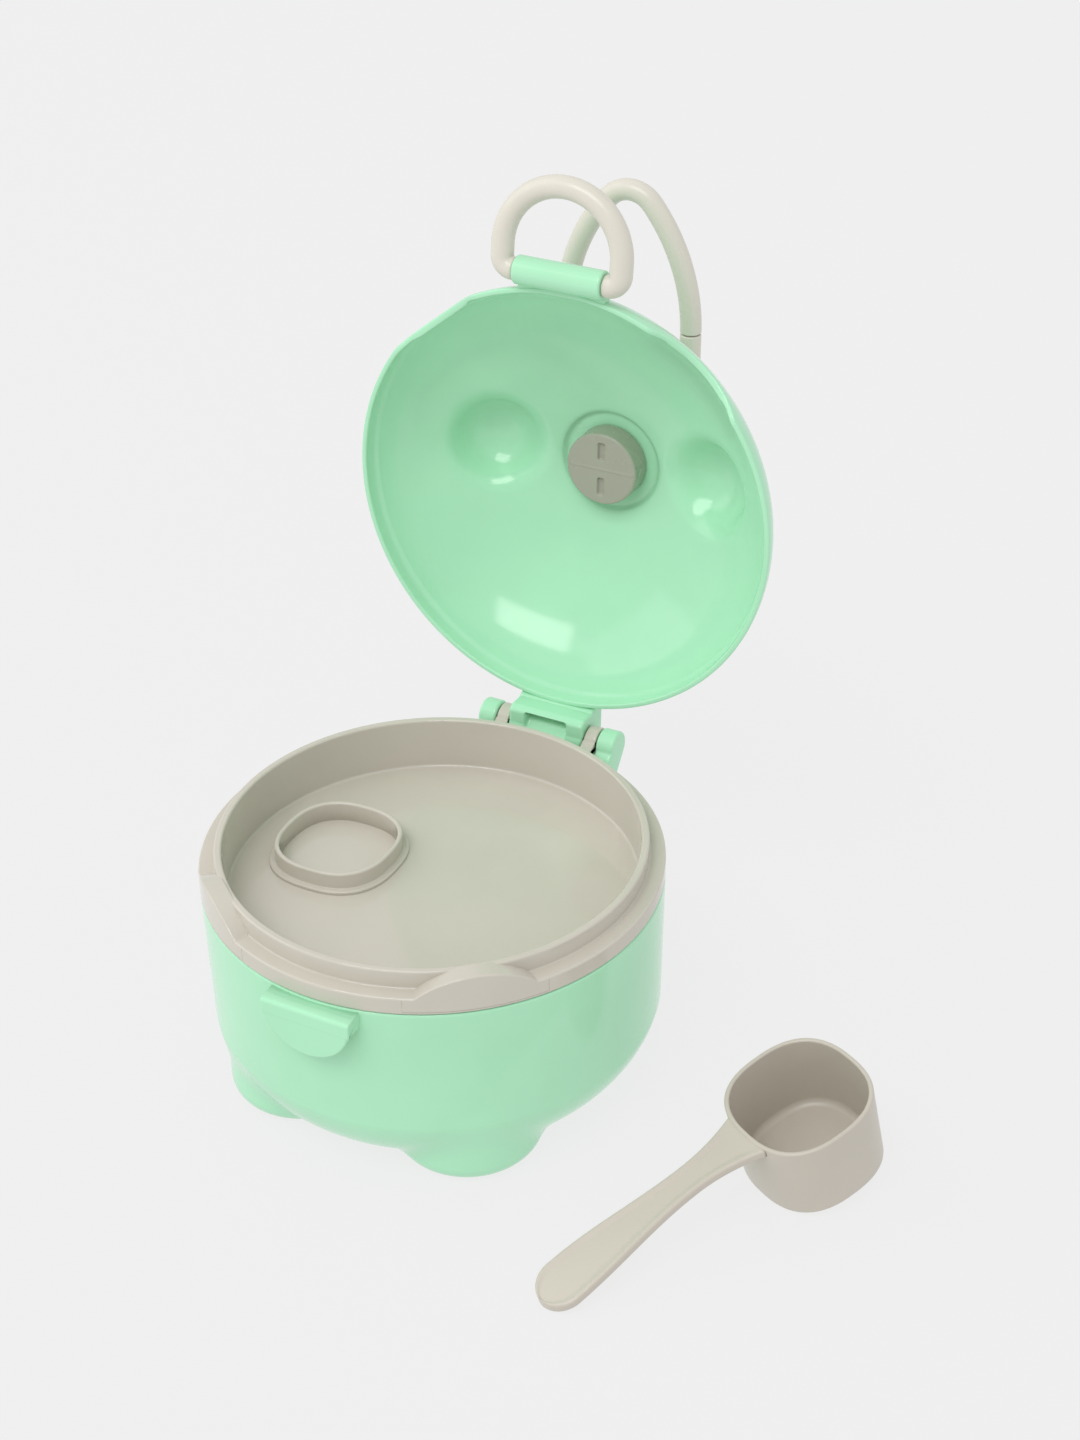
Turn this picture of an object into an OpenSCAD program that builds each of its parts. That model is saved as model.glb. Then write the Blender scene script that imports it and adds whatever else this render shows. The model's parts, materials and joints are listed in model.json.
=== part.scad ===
// Round milk-powder dispenser: footed bowl, hinged tray lid with a levelling ring,
// hinged dome lid with a latch ring and a swivelling carry hook, and a loose scoop.
// Millimetres. Z = 0 is the flat underside of the bowl, +Z is up, the hinge is at +Y
// and the latch is at -Y. The dome lid is drawn open and the tray lid closed.

/* [Bowl] */
// Outer radius of the bowl at its rim
bowl_r = 60; // [50:1:75]
// Height of the bowl from its underside to its rim
bowl_h = 54; // [45:1:70]
// Wall thickness of the bowl
bowl_wall = 2.2; // [1.6:0.1:2.6]
// How far the side wall leans in above the bottom corner
bowl_lean = 0.8; // [0:0.1:2]
// Width of the rounded bottom corner
corner_w = 13; // [8:0.5:20]
// Height of the rounded bottom corner
corner_h = 17; // [12:0.5:22]
// Roundness exponent of the bottom corner, 2 is an ellipse
corner_power = 1.5; // [1.2:0.1:2.2]

/* [Feet] */
// Radius of each foot
foot_r = 19.5; // [12:0.5:22]
// Distance that the feet stand below the underside
foot_drop = 4; // [2:0.5:8]
// Radius of the rounded edge under each foot
foot_edge = 5; // [2:0.5:6]
// Gap between a foot's outer side and the bowl's outer radius
foot_inset = 2.2; // [1:0.2:6]
// Angle of each foot away from the front or the back
foot_angle = 40; // [32:1:50]

/* [Latch tab] */
// Radius of the half-disc that the latch ring snaps under
tab_r = 12.3; // [8:0.1:13]
// Height of the block that carries the half-disc
tab_block_h = 4.5; // [3:0.5:6]
// Distance that the half-disc stands out from the bowl
tab_reach = 4.2; // [3.6:0.1:5]
// Thickness of the half-disc
tab_plate = 2; // [1.4:0.1:2.4]

/* [Tray lid] */
// Height of the outer flange
flange_h = 4.7; // [3:0.1:6]
// Size of the chamfer on the flange's top edge
flange_chamfer = 0.8; // [0.3:0.1:1.2]
// Inset of the upstanding collar from the bowl's outer radius
collar_inset = 4.2; // [4:0.1:6]
// Height of the collar above the flange
collar_h = 5; // [3:0.5:8]
// Thickness of the collar
collar_wall = 2; // [1.8:0.1:3]
// Depth of the tray floor below the bowl's rim
tray_depth = 5; // [3:0.5:8]
// Thickness of the tray floor
tray_floor = 1.8; // [1.2:0.1:2.5]
// Angle of each arched lobe away from the front
lobe_angle = 39.5; // [30:1:55]
// Length of each lobe where it meets the flange
lobe_chord = 28; // [16:1:32]
// Height of each lobe above the collar
lobe_rise = 0.7; // [0.6:0.1:1.2]

/* [Levelling ring] */
// Distance of the ring's centre from the tray's centre
ring_offset = 28.5; // [24:0.5:32]
// Height of the ring above the tray floor
ring_h = 5.5; // [3:0.5:8]
// Thickness of the ring's wall
ring_wall = 1.3; // [1:0.1:2]
// Height of the low step round the ring's foot
ring_step_h = 1; // [0.5:0.1:2]

/* [Seal] */
// Depth of the groove that holds the seal
seal_groove = 0.7; // [0.5:0.1:1]
// Height of the seal
seal_h = 3; // [2:0.5:4]
// Distance of the seal's top below the bowl's rim
seal_drop = 1.2; // [1:0.2:2]

/* [Dome lid] */
// Height of the dome above its own rim
dome_h = 35; // [30:1:45]
// Roundness exponent of the dome, 2 is an ellipse
dome_power = 1.85; // [1.6:0.05:2.3]
// Wall thickness of the dome
dome_wall = 1.9; // [1.5:0.1:2.5]
// Distance that the dome's rim stands out past the bowl's rim
dome_overhang = 0.3; // [0:0.1:1]
// Depth of the relief inside the dome's rim
rim_relief = 0.5; // [0.2:0.1:0.7]
// Height of the relief inside the dome's rim
rim_relief_h = 4; // [2:0.5:6]
// Inner radius of each round bump
bump_r = 13; // [8:0.2:14]
// Distance of each bump from the dome's middle
bump_x = 30.5; // [24:0.5:34]
// Distance of each bump in front of the dome's middle
bump_y = 1.8; // [-5:0.2:6]
// Distance of each bump's centre below the dome's inner surface
bump_sink = 5; // [3:0.5:8]
// Opening angle of the dome lid as drawn
lid_open = 92.5; // [0:0.5:92.5]
// Radius of the flat recess round the swivel hole
recess_r = 14; // [12:0.5:18]

/* [Hinge] */
// Distance of the hinge pin behind the bowl's outer radius
pin_back = 7.4; // [7:0.2:10]
// Height of the hinge pin above the bowl's rim
pin_up = 2.5; // [2:0.1:3]
// Radius of the hinge pin
pin_r = 1.5; // [1:0.1:2]
// Outer radius of the knuckles
knuckle_r = 4.5; // [3.5:0.1:4.6]
// Width of the dome lid's middle knuckle
lid_knuckle_w = 22.6; // [18:0.2:28]
// Width of each tray lid ear
ear_w = 3.6; // [2.5:0.1:5]
// Width of each bowl knuckle
bowl_knuckle_w = 5.2; // [4:0.1:7]
// Height of the dome lid's hinge block above the dome's rim
block_h = 6; // [4:0.5:8]
// Width of the pocket in the hinge block
pocket_w = 12.4; // [8:0.2:14]
// Thickness of the wall in front of the pocket
pocket_wall = 1.2; // [1:0.1:1.6]
// Gap between neighbouring knuckles
knuckle_gap = 0.35; // [0.3:0.05:0.6]

/* [Latch ring] */
// Radius of the ring's round bar
bar_r = 3; // [2:0.1:3]
// Half the width of the ring, to the bar's middle
latch_half_w = 16.7; // [15.7:0.1:20]
// Radius of the bend at the foot of each leg
latch_bend = 3.2; // [3:0.1:3.4]
// Radius of the pivot stubs
stub_r = 1.5; // [1:0.1:1.8]
// Length of the pivot stubs
stub_l = 6; // [4:0.5:8]
// Height of the pivot above the bowl's rim
latch_up = 5.3; // [5:0.1:6.5]
// Radius of the barrel that holds the pivot
barrel_r = 3.8; // [3.2:0.1:3.8]
// Length of the barrel
barrel_w = 24.8; // [22:0.2:25.4]
// Tilt of the ring towards the dome as drawn
latch_tilt = 6; // [0:1:60]

/* [Carry hook] */
// Radius of the hook's round bar
hook_bar_r = 2.9; // [2:0.1:3.2]
// Half the width of the hook, to the bar's middle
hook_half_w = 18.6; // [15:0.2:22]
// Distance of the hook's tip from the swivel, to the bar's middle
hook_reach = 74.5; // [60:0.5:85]
// Distance of the widest place from the swivel
hook_wide_at = 38; // [32:1:42]
// Bend radius of the hook's tip
hook_tip_r = 8.2; // [6:0.2:10]
// Distance of the hook's cross bar in front of the swivel
hook_base_at = 8; // [7:0.5:10]
// Bend radius at the corner of the cross bar
hook_corner_r = 9; // [6:0.5:11]
// Gap between the hook and the top of the lid
hook_gap = 0.7; // [0.4:0.1:2]
// Radius of the swivel's disc
hub_r = 12; // [9:0.5:14]
// Radius of the swivel's shaft
shaft_r = 4; // [3:0.5:6]
// Radius of the gate's pin
gate_pin_r = 1.2; // [0.8:0.1:1.5]
// Thickness of the gate's eye
gate_eye_h = 2.2; // [1.6:0.1:2.6]
// Width of the eye's border round the bar
gate_eye_edge = 1.2; // [0.8:0.1:1.6]
// Distance from the eye's border to the gate's bar
gate_neck = 1.4; // [1.2:0.1:3]

/* [Swivel plug] */
// Radius of the plug inside the lid
plug_r = 10.4; // [8:0.2:12]
// Thickness of the plug
plug_h = 7; // [4:0.5:9]
// Width of the slots in the plug's face
slot_w = 3; // [2:0.1:4]
// Length of the slots in the plug's face
slot_l = 6; // [4:0.5:7]

/* [Scoop] */
// Half the width of the cup at its rim
cup_half = 17.4; // [14:0.1:19]
// Half the width of the cup at its bottom
cup_foot_half = 16.7; // [12:0.1:18]
// Roundness exponent of the cup, 2 is a circle
cup_power = 2.5; // [2:0.1:4]
// Height of the cup
cup_h = 24.4; // [15:0.2:30]
// Wall thickness of the cup
cup_wall = 1.2; // [0.9:0.1:1.6]
// Distance from the cup's middle to the handle's end
handle_reach = 81; // [65:0.5:81]
// Thickness of the handle
handle_t = 2.6; // [2:0.1:4]
// Half the width of the handle where it meets the cup
handle_root = 7.2; // [5:0.1:9]
// Half the width of the handle at its waist
handle_waist = 4.1; // [3:0.1:6]
// Distance from the cup's middle to the handle's waist
handle_waist_at = 35; // [28:1:50]
// Half the width of the handle near its end
handle_end = 6.9; // [5:0.1:8]
// Distance that the handle's end curves down
handle_droop = 5; // [2:0.5:6]
// Depth of the channel along the handle
handle_channel = 0.6; // [0.3:0.1:1]
// Distance of the scoop's cup from the bowl's outer radius
scoop_away = 49; // [30:1:90]
// Distance of the scoop's cup in front of the bowl's middle
scoop_front = 2.6; // [-40:0.2:40]
// Direction that the scoop's handle points, from +X
scoop_heading = -119; // [-180:0.5:180]

/* [Hidden] */
$fn = 96;
eps = 0.01;
gap = 0.3;          // between parts that sit together
run = 0.05;         // radial clearance of a turning fit
snap = 0.02;        // radial clearance of a pushed fit
blend = 0.02;       // extra radius where two stretches of bar join
rim_drop = 0.3;     // step from the scoop's rim down to its handle

pin_y = bowl_r + pin_back;
pin_z = bowl_h + pin_up;
floor_z = bowl_h - tray_depth;
flange_z = bowl_h + gap;
flange_top = flange_z + flange_h;
collar_r = bowl_r - collar_inset;
collar_top = flange_top + collar_h;
rim_z = flange_top + gap;
dome_r = bowl_r + dome_overhang;
dome_top = rim_z + dome_h;
dome_inner_top = dome_top - dome_wall;
seal_r = bowl_r - bowl_wall - gap;
seal_seat_r = collar_r - seal_groove;
lobe_h = collar_h + lobe_rise;
lobe_r = (pow(lobe_chord / 2, 2) + pow(lobe_h, 2)) / (2 * lobe_h);
ring_half = cup_half - cup_wall - gap;
ear_x = lid_knuckle_w / 2 + knuckle_gap;
bowl_knuckle_x = ear_x + ear_w + knuckle_gap;
block_y = bowl_r + 0.6;
pin_end = bowl_knuckle_x + bowl_knuckle_w;

tab_top = bowl_h - 0.5;
tab_mid = bowl_h - 2;
latch_y = bowl_r + gap + barrel_r;
latch_z = bowl_h + latch_up;
latch_reach = latch_z - (tab_mid - tab_r) + gap + bar_r;

bump_z = dome_surface(bump_x, dome_r - dome_wall, dome_h - dome_wall) - bump_sink;
bump_top = bump_z + bump_r + dome_wall;
hook_z = max(dome_top, bump_top) + hook_gap + hook_bar_r;
hub_z = dome_top + gap;
plug_top = dome_inner_top - gap;
shaft_end = plug_top - plug_h + 2;
gate_x = hook_half_w;

cup_tilt = atan((cup_h - handle_droop - handle_t - rim_drop) / (handle_reach - cup_foot_half));
scoop_lift = cup_foot_half * sin(cup_tilt);

// Height of the dome's surface at distance x from its middle
function dome_surface(x, r, h) = rim_z + h * pow(1 - pow(x / r, dome_power), 1 / dome_power);

// Points of the dome's profile from its rim to its middle
function dome_points(r, h) = [
    for (i = [0:18])
        let (a = 90 * i / 18, p = 2 / dome_power)
            [r * pow(cos(a), p), rim_z + h * pow(sin(a), p)]
];

// Points of a rounded bottom corner that starts at radius r0 and height z0
function corner_points(r0, z0, w, h) = [
    for (i = [0:12])
        let (a = 90 * i / 12, p = 2 / corner_power)
            [r0 + w * pow(sin(a), p), z0 + h * (1 - pow(cos(a), p))]
];

// Outline of a rounded square
function squircle(half, steps = 72) = [
    for (i = [0:steps - 1])
        let (
            a = 360 * i / steps,
            d = pow(pow(abs(cos(a)), cup_power) + pow(abs(sin(a)), cup_power), 1 / cup_power)
        )
            half / d * [cos(a), sin(a)]
];

// Half the handle's width at distance x from the cup's middle
function handle_half(x) =
    let (end_at = handle_reach - handle_end)
        x < handle_waist_at
            ? handle_waist + (handle_root - handle_waist)
                * pow((handle_waist_at - x) / (handle_waist_at - cup_half), 2)
            : handle_waist + (handle_end - handle_waist)
                * (1 - cos(180 * min(1, (x - handle_waist_at) / (end_at - handle_waist_at)))) / 2;

// Outline of the handle, drawn in by a border
function handle_outline(border = 0) =
    let (
        start = cup_half - cup_wall + 2 * border,
        end_at = handle_reach - handle_end,
        side = [for (i = [0:14]) let (x = start + (end_at - start) * i / 14)
            [x, handle_half(x) - border]],
        r = handle_end - border,
        tip = [for (i = [1:11]) let (a = 90 - 180 * i / 12) [end_at + r * cos(a), r * sin(a)]]
    )
        concat(side, tip, [for (i = [14:-1:0]) [side[i][0], -side[i][1]]]);

// Turns its children about the hinge pin from closed to open
module about_hinge(angle) {
    translate([0, pin_y, pin_z])
        rotate([-angle, 0, 0])
            translate([0, -pin_y, -pin_z])
                children();
}

// Places a cylinder along X at the hinge pin
module along_pin(r, x0, x1) {
    translate([x0, pin_y, pin_z])
        rotate([0, 90, 0])
            cylinder(r = r, h = x1 - x0);
}

// Solid between the front lobes: an arch whose axis points out of the tray
module lobe_arch(side, grow) {
    rotate([0, 0, side * lobe_angle])
        translate([0, -collar_r + 6, flange_top + lobe_h - lobe_r])
            rotate([90, 0, 0])
                cylinder(r = lobe_r + grow, h = 20);
}

// ---- Bowl

module bowl_outer() {
    rotate_extrude()
        polygon(concat(
            [[0, 0]],
            corner_points(bowl_r - bowl_lean - corner_w, 0, corner_w, corner_h),
            [[bowl_r, bowl_h - 0.4], [bowl_r - 0.4, bowl_h], [0, bowl_h]]
        ));
}

module bowl_cavity() {
    rotate_extrude()
        polygon(concat(
            [[0, bowl_wall]],
            corner_points(
                bowl_r - bowl_lean - corner_w, bowl_wall,
                corner_w - bowl_wall, corner_h - bowl_wall
            ),
            [[bowl_r - bowl_wall, bowl_h - 1], [bowl_r - bowl_wall, bowl_h + 1], [0, bowl_h + 1]]
        ));
}

module at_feet() {
    from_middle = bowl_r - foot_inset - foot_r;
    for (side = [-1, 1], back = [0, 180])
        rotate([0, 0, back + side * foot_angle])
            translate([0, -from_middle, 0])
                children();
}

module foot() {
    rotate_extrude()
        polygon(concat(
            [[0, -foot_drop]],
            [for (i = [0:8]) let (a = 90 * i / 8)
                [foot_r - foot_edge + foot_edge * sin(a), -foot_drop + foot_edge * (1 - cos(a))]],
            [[foot_r, corner_h], [0, corner_h]]
        ));
}

module foot_pocket() {
    translate([0, 0, -foot_drop - 1])
        cylinder(r = foot_r - foot_edge - 3, h = foot_drop + 1);
}

module latch_tab() {
    // Block under the bowl's rim
    translate([-tab_r + 0.2, -bowl_r - tab_reach, tab_top - tab_block_h])
        cube([2 * tab_r - 0.4, tab_reach + 2, tab_block_h]);
    // Half-disc in front of the block
    intersection() {
        translate([0, -bowl_r - tab_reach + tab_plate, tab_mid])
            rotate([90, 0, 0])
                cylinder(r = tab_r, h = tab_plate);
        translate([-tab_r, -bowl_r - tab_reach - 1, tab_top - 2 * tab_r])
            cube([2 * tab_r, tab_plate + 2, 2 * tab_r]);
    }
}

module bowl_knuckle(side) {
    x0 = side > 0 ? bowl_knuckle_x : -pin_end;
    along_pin(knuckle_r, x0, x0 + bowl_knuckle_w);
    // Bracket from the wall to the knuckle
    translate([x0, 0, 0])
        rotate([90, 0, 90])
            linear_extrude(bowl_knuckle_w)
                polygon([
                    [bowl_r - 4, bowl_h - 14], [bowl_r - 4, bowl_h - 0.4],
                    [pin_y - knuckle_r, bowl_h - 0.4], [pin_y - knuckle_r, pin_z],
                    [pin_y + knuckle_r, pin_z]
                ]);
}

module bowl() {
    color("#bbe6c8")
        difference() {
            union() {
                bowl_outer();
                at_feet() foot();
                latch_tab();
                bowl_knuckle(-1);
                bowl_knuckle(1);
            }
            bowl_cavity();
            at_feet() foot_pocket();
            along_pin(pin_r + snap, -pin_end - 1, pin_end - 1.4);
        }
}

module hinge_pin() {
    color("#c9ccd0")
        along_pin(pin_r, -pin_end + 0.2, pin_end - 1.6);
}

// ---- Tray lid

module tray_shell() {
    under = floor_z - tray_floor;
    rotate_extrude()
        polygon([
            [0, under], [collar_r - 0.6, under], [collar_r, under + 0.6],
            [collar_r, bowl_h - seal_drop - seal_h], [seal_seat_r, bowl_h - seal_drop - seal_h],
            [seal_seat_r, bowl_h - seal_drop], [collar_r, bowl_h - seal_drop],
            [collar_r, flange_z], [bowl_r, flange_z],
            [bowl_r, flange_top - flange_chamfer], [bowl_r - flange_chamfer, flange_top],
            [collar_r, flange_top], [collar_r, collar_top - 0.5],
            [collar_r - 0.5, collar_top], [collar_r - collar_wall + 0.5, collar_top],
            [collar_r - collar_wall, collar_top - 0.5],
            [collar_r - collar_wall, floor_z + 1], [collar_r - collar_wall - 1, floor_z],
            [0, floor_z]
        ]);
}

module lobe(side) {
    intersection() {
        lobe_arch(side, 0);
        translate([0, 0, flange_z + 0.5])
            difference() {
                cylinder(r = bowl_r - 0.05, h = collar_h + flange_h + 2);
                translate([0, 0, -1])
                    cylinder(r = collar_r - 1, h = collar_h + flange_h + 4);
            }
    }
}

module levelling_ring() {
    translate([-ring_offset, 0, floor_z]) {
        difference() {
            union() {
                translate([0, 0, -eps])
                    linear_extrude(ring_h) polygon(squircle(ring_half));
                translate([0, 0, -eps])
                    linear_extrude(ring_step_h) polygon(squircle(cup_half));
            }
            linear_extrude(ring_h + 1) polygon(squircle(ring_half - ring_wall));
        }
    }
}

module tray_ear(side) {
    x0 = side > 0 ? ear_x : -ear_x - ear_w;
    along_pin(knuckle_r - 0.3, x0, x0 + ear_w);
    translate([x0, bowl_r - 4, flange_z + 0.3])
        cube([ear_w, pin_back + 4, flange_h - 1.5]);
}

module inner_lid() {
    color("#cbc4b4")
        difference() {
            union() {
                tray_shell();
                lobe(-1);
                lobe(1);
                levelling_ring();
                tray_ear(-1);
                tray_ear(1);
            }
            along_pin(pin_r + run, -pin_end, pin_end);
        }
}

module inner_lid_seal() {
    mid = bowl_h - seal_drop - seal_h / 2;
    color("#e9ebe6")
        rotate_extrude()
            polygon([
                [seal_seat_r + snap, mid - seal_h / 2 + 0.1], [collar_r + 0.3, mid - seal_h / 2 + 0.1],
                [seal_r, mid - 0.5], [seal_r, mid + 0.5],
                [collar_r + 0.3, mid + seal_h / 2 - 0.1], [seal_seat_r + snap, mid + seal_h / 2 - 0.1]
            ]);
}

// ---- Dome lid, drawn closed and turned about the hinge

module at_bumps() {
    for (side = [-1, 1])
        translate([side * bump_x, -bump_y, bump_z])
            children();
}

module dome_outer() {
    rotate_extrude()
        polygon(concat([[0, rim_z]], dome_points(dome_r, dome_h)));
    intersection() {
        at_bumps() sphere(r = bump_r + dome_wall);
        translate([0, 0, rim_z])
            cylinder(r = dome_r, h = 2 * dome_h);
    }
}

module dome_inner() {
    r = dome_r - dome_wall;
    rotate_extrude()
        polygon(concat([[0, rim_z - 1], [r, rim_z - 1]], dome_points(r, dome_h - dome_wall)));
    at_bumps() sphere(r = bump_r);
    // Relief inside the rim
    translate([0, 0, rim_z - 1])
        cylinder(r = r + rim_relief - 0.4, h = 1 + rim_relief_h);
    // Flat recess round the swivel hole
    translate([0, 0, dome_inner_top - 3])
        cylinder(r = recess_r, h = 3);
}

module barrel() {
    translate([-barrel_w / 2, -latch_y, latch_z])
        rotate([0, 90, 0])
            cylinder(r = barrel_r, h = barrel_w);
    // Web from the barrel to the dome's rim
    translate([-barrel_w / 2, -latch_y, rim_z + 0.2])
        cube([barrel_w, latch_y - bowl_r + 3.5, barrel_r - 0.4]);
}

module lid_knuckle() {
    along_pin(knuckle_r, -lid_knuckle_w / 2, lid_knuckle_w / 2);
    // Block from the knuckle to the dome's rim
    translate([-lid_knuckle_w / 2, bowl_r - 5, rim_z])
        cube([lid_knuckle_w, pin_back + 5 + knuckle_r - 0.6, block_h]);
    translate([-lid_knuckle_w / 2, block_y, pin_z])
        cube([lid_knuckle_w, pin_back + knuckle_r - 1.2, rim_z - pin_z + eps]);
    // Cheeks that reach down in front of the knuckle and clear the flange as they turn
    intersection() {
        translate([-lid_knuckle_w / 2, block_y, pin_z - knuckle_r + 0.5])
            cube([lid_knuckle_w, pin_y - block_y, knuckle_r]);
        along_pin(pin_back - gap, -lid_knuckle_w, lid_knuckle_w);
    }
}

module outer_lid() {
    color("#b5f1cb")
        about_hinge(lid_open)
            difference() {
                union() {
                    dome_outer();
                    barrel();
                    lid_knuckle();
                    // Flat seat for the swivel's disc
                    translate([0, 0, dome_top - 3])
                        cylinder(r = hub_r + 1, h = 3);
                }
                dome_inner();
                lobe_arch(-1, gap);
                lobe_arch(1, gap);
                // Pocket in the hinge block
                translate([-pocket_w / 2, block_y + pocket_wall, pin_z - knuckle_r])
                    cube([pocket_w, pin_y - pin_r - 1 - block_y - pocket_wall, knuckle_r + 5]);
                along_pin(pin_r + run, -pin_end, pin_end);
                // Blind holes for the latch ring's stubs
                for (side = [-1, 1])
                    translate([side * barrel_w / 2, -latch_y, latch_z])
                        rotate([0, -side * 90, 0])
                            translate([0, 0, -1])
                                cylinder(r = stub_r + run, h = stub_l + 2);
                // Hole for the swivel's shaft
                translate([0, 0, dome_inner_top - 5])
                    cylinder(r = shaft_r + run, h = 12);
            }
}

// ---- Latch ring

module latch_half(side) {
    bow_at = latch_reach - latch_half_w;
    // Straight leg
    translate([side * latch_half_w, 0, latch_bend])
        cylinder(r = bar_r, h = bow_at - latch_bend);
    // Bend into the barrel
    translate([side * (latch_half_w - latch_bend), 0, latch_bend])
        rotate([90, 0, 0])
            rotate([0, 0, side > 0 ? -90 : 180])
                rotate_extrude(angle = 90)
                    translate([latch_bend, 0]) circle(r = bar_r);
    // Foot and stub
    translate([side * (latch_half_w - latch_bend), 0, 0])
        rotate([0, -side * 90, 0]) {
            cylinder(r = bar_r, h = latch_half_w - latch_bend - barrel_w / 2 - gap);
            cylinder(r = stub_r, h = latch_half_w - latch_bend - barrel_w / 2 + stub_l);
        }
}

module latch_ring() {
    color("#b7baa7")
        about_hinge(lid_open)
            translate([0, -latch_y, latch_z])
                rotate([90 - latch_tilt, 0, 0]) {
                    latch_half(-1);
                    latch_half(1);
                    translate([0, 0, latch_reach - latch_half_w])
                        rotate([90, 0, 0])
                            rotate_extrude(angle = 180)
                                translate([latch_half_w, 0]) circle(r = bar_r);
                }
}

// ---- Carry hook

// Radius, centre and sweep of the arc between the hook's side and its tip
side_r = hook_side_radius();
side_x = hook_half_w - side_r;
tip_y = hook_reach - hook_tip_r;
side_sweep = atan2(tip_y - hook_wide_at, -side_x);

function hook_side_radius() =
    let (dy = hook_reach - hook_tip_r - hook_wide_at)
        (pow(hook_half_w, 2) + pow(dy, 2) - pow(hook_tip_r, 2))
            / (2 * (hook_half_w - hook_tip_r));

// Neighbouring stretches of bar overlap by a little, and every second one is a hair thicker
module bar_arc(r, start, sweep, grow = 0) {
    more = grow > 0 ? 0.3 / r * 180 / PI : 0;
    rotate([0, 0, start - more])
        rotate_extrude(angle = sweep + 2 * more)
            translate([r, 0]) circle(r = hook_bar_r + grow);
}

module bar_straight(length) {
    translate([0, 0, -0.3])
        cylinder(r = hook_bar_r + blend, h = length + 0.6);
}

module hook_side(side) {
    translate([side * side_x, -hook_wide_at, 0])
        bar_arc(side_r, side > 0 ? -side_sweep : 180, side_sweep);
}

module hook_bar() {
    hook_side(-1);
    hook_side(1);
    // Tip
    translate([0, -tip_y, 0])
        bar_arc(hook_tip_r, 180 + side_sweep, 180 - 2 * side_sweep, blend);
    // Left side, corner and cross bar
    translate([-hook_half_w, -hook_wide_at, 0])
        rotate([-90, 0, 0])
            bar_straight(hook_wide_at - hook_base_at - hook_corner_r);
    translate([hook_corner_r - hook_half_w, -hook_base_at - hook_corner_r, 0])
        bar_arc(hook_corner_r, 90, 90);
    translate([hook_corner_r - hook_half_w, -hook_base_at, 0])
        rotate([0, 90, 0])
            bar_straight(gate_x - hook_corner_r + hook_half_w);
    translate([gate_x, -hook_base_at, -hook_bar_r])
        cylinder(r = hook_bar_r + gate_eye_edge, h = 2 * hook_bar_r);
}

// Room for the gate's eye in the end of the cross bar
module gate_slot(grow) {
    translate([gate_x, -hook_base_at, -gate_eye_h / 2 - grow])
        cylinder(r = hook_bar_r + gate_eye_edge + 2 * grow, h = gate_eye_h + 2 * grow);
}

module carry_hook() {
    color("#b7baa7")
        about_hinge(lid_open)
            difference() {
                union() {
                    translate([0, 0, hook_z]) hook_bar();
                    translate([0, 0, hub_z])
                        cylinder(r = hub_r, h = hook_z - hub_z + 1.5);
                    translate([0, 0, shaft_end])
                        cylinder(r = shaft_r, h = hub_z - shaft_end + 1);
                }
                translate([0, 0, hook_z]) {
                    gate_slot(gap);
                    translate([gate_x, -hook_base_at, -10])
                        cylinder(r = gate_pin_r + snap, h = 20);
                    // Room for the gate itself, from its root to the seam
                    translate([gate_x, -hook_base_at - hook_bar_r - 1.6, 0])
                        rotate([90, 0, 0])
                            cylinder(
                                r = hook_bar_r + gap,
                                h = hook_wide_at - hook_base_at - hook_bar_r - 1.3
                            );
                }
            }
}

module hook_gate() {
    root = hook_base_at + hook_bar_r + gate_eye_edge + gate_neck;
    color("#b7baa7")
        about_hinge(lid_open)
            translate([gate_x, 0, hook_z])
                difference() {
                    union() {
                        translate([0, -hook_base_at, -gate_eye_h / 2])
                            cylinder(r = hook_bar_r + 1, h = gate_eye_h);
                        translate([-1.6, -root - 1, -gate_eye_h / 2])
                            cube([3.2, root + 1 - hook_base_at, gate_eye_h]);
                        translate([0, -root, 0])
                            rotate([90, 0, 0])
                                cylinder(r = hook_bar_r, h = hook_wide_at - gap - root);
                    }
                    translate([0, -hook_base_at, -10])
                        cylinder(r = gate_pin_r + run, h = 20);
                }
}

module gate_pin() {
    color("#c9ccd0")
        about_hinge(lid_open)
            translate([gate_x, -hook_base_at, hook_z - hook_bar_r + 0.1])
                cylinder(r = gate_pin_r, h = 2 * hook_bar_r - 0.2);
}

module swivel_plug() {
    color("#b2b5a2")
        about_hinge(lid_open)
            difference() {
                translate([0, 0, plug_top - plug_h])
                    cylinder(r = plug_r, h = plug_h);
                translate([0, 0, shaft_end - snap])
                    cylinder(r = shaft_r + snap, h = plug_h);
                for (side = [-1, 1])
                    translate([-slot_w / 2, side * plug_r * 0.5 - slot_l / 2, plug_top - plug_h - 1])
                        cube([slot_w, slot_l, 2.2]);
            }
}

// ---- Scoop, resting on the floor on its cup's edge and its handle's end

module scoop_handle() {
    bend_r = pow(handle_reach - cup_half, 2) / (2 * handle_droop);
    module slab(top, bottom) {
        translate([cup_half, 30, cup_h - bend_r])
            rotate([90, 0, 0])
                difference() {
                    cylinder(r = bend_r - top, h = 60, $fn = 360);
                    translate([0, 0, -1])
                        cylinder(r = bend_r - bottom, h = 62, $fn = 360);
                }
    }
    difference() {
        intersection() {
            slab(rim_drop, handle_t + rim_drop);
            linear_extrude(cup_h + 1) polygon(handle_outline());
        }
        intersection() {
            slab(-1, handle_channel + rim_drop);
            linear_extrude(cup_h + 1) polygon(handle_outline(1.1));
        }
    }
}

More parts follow.
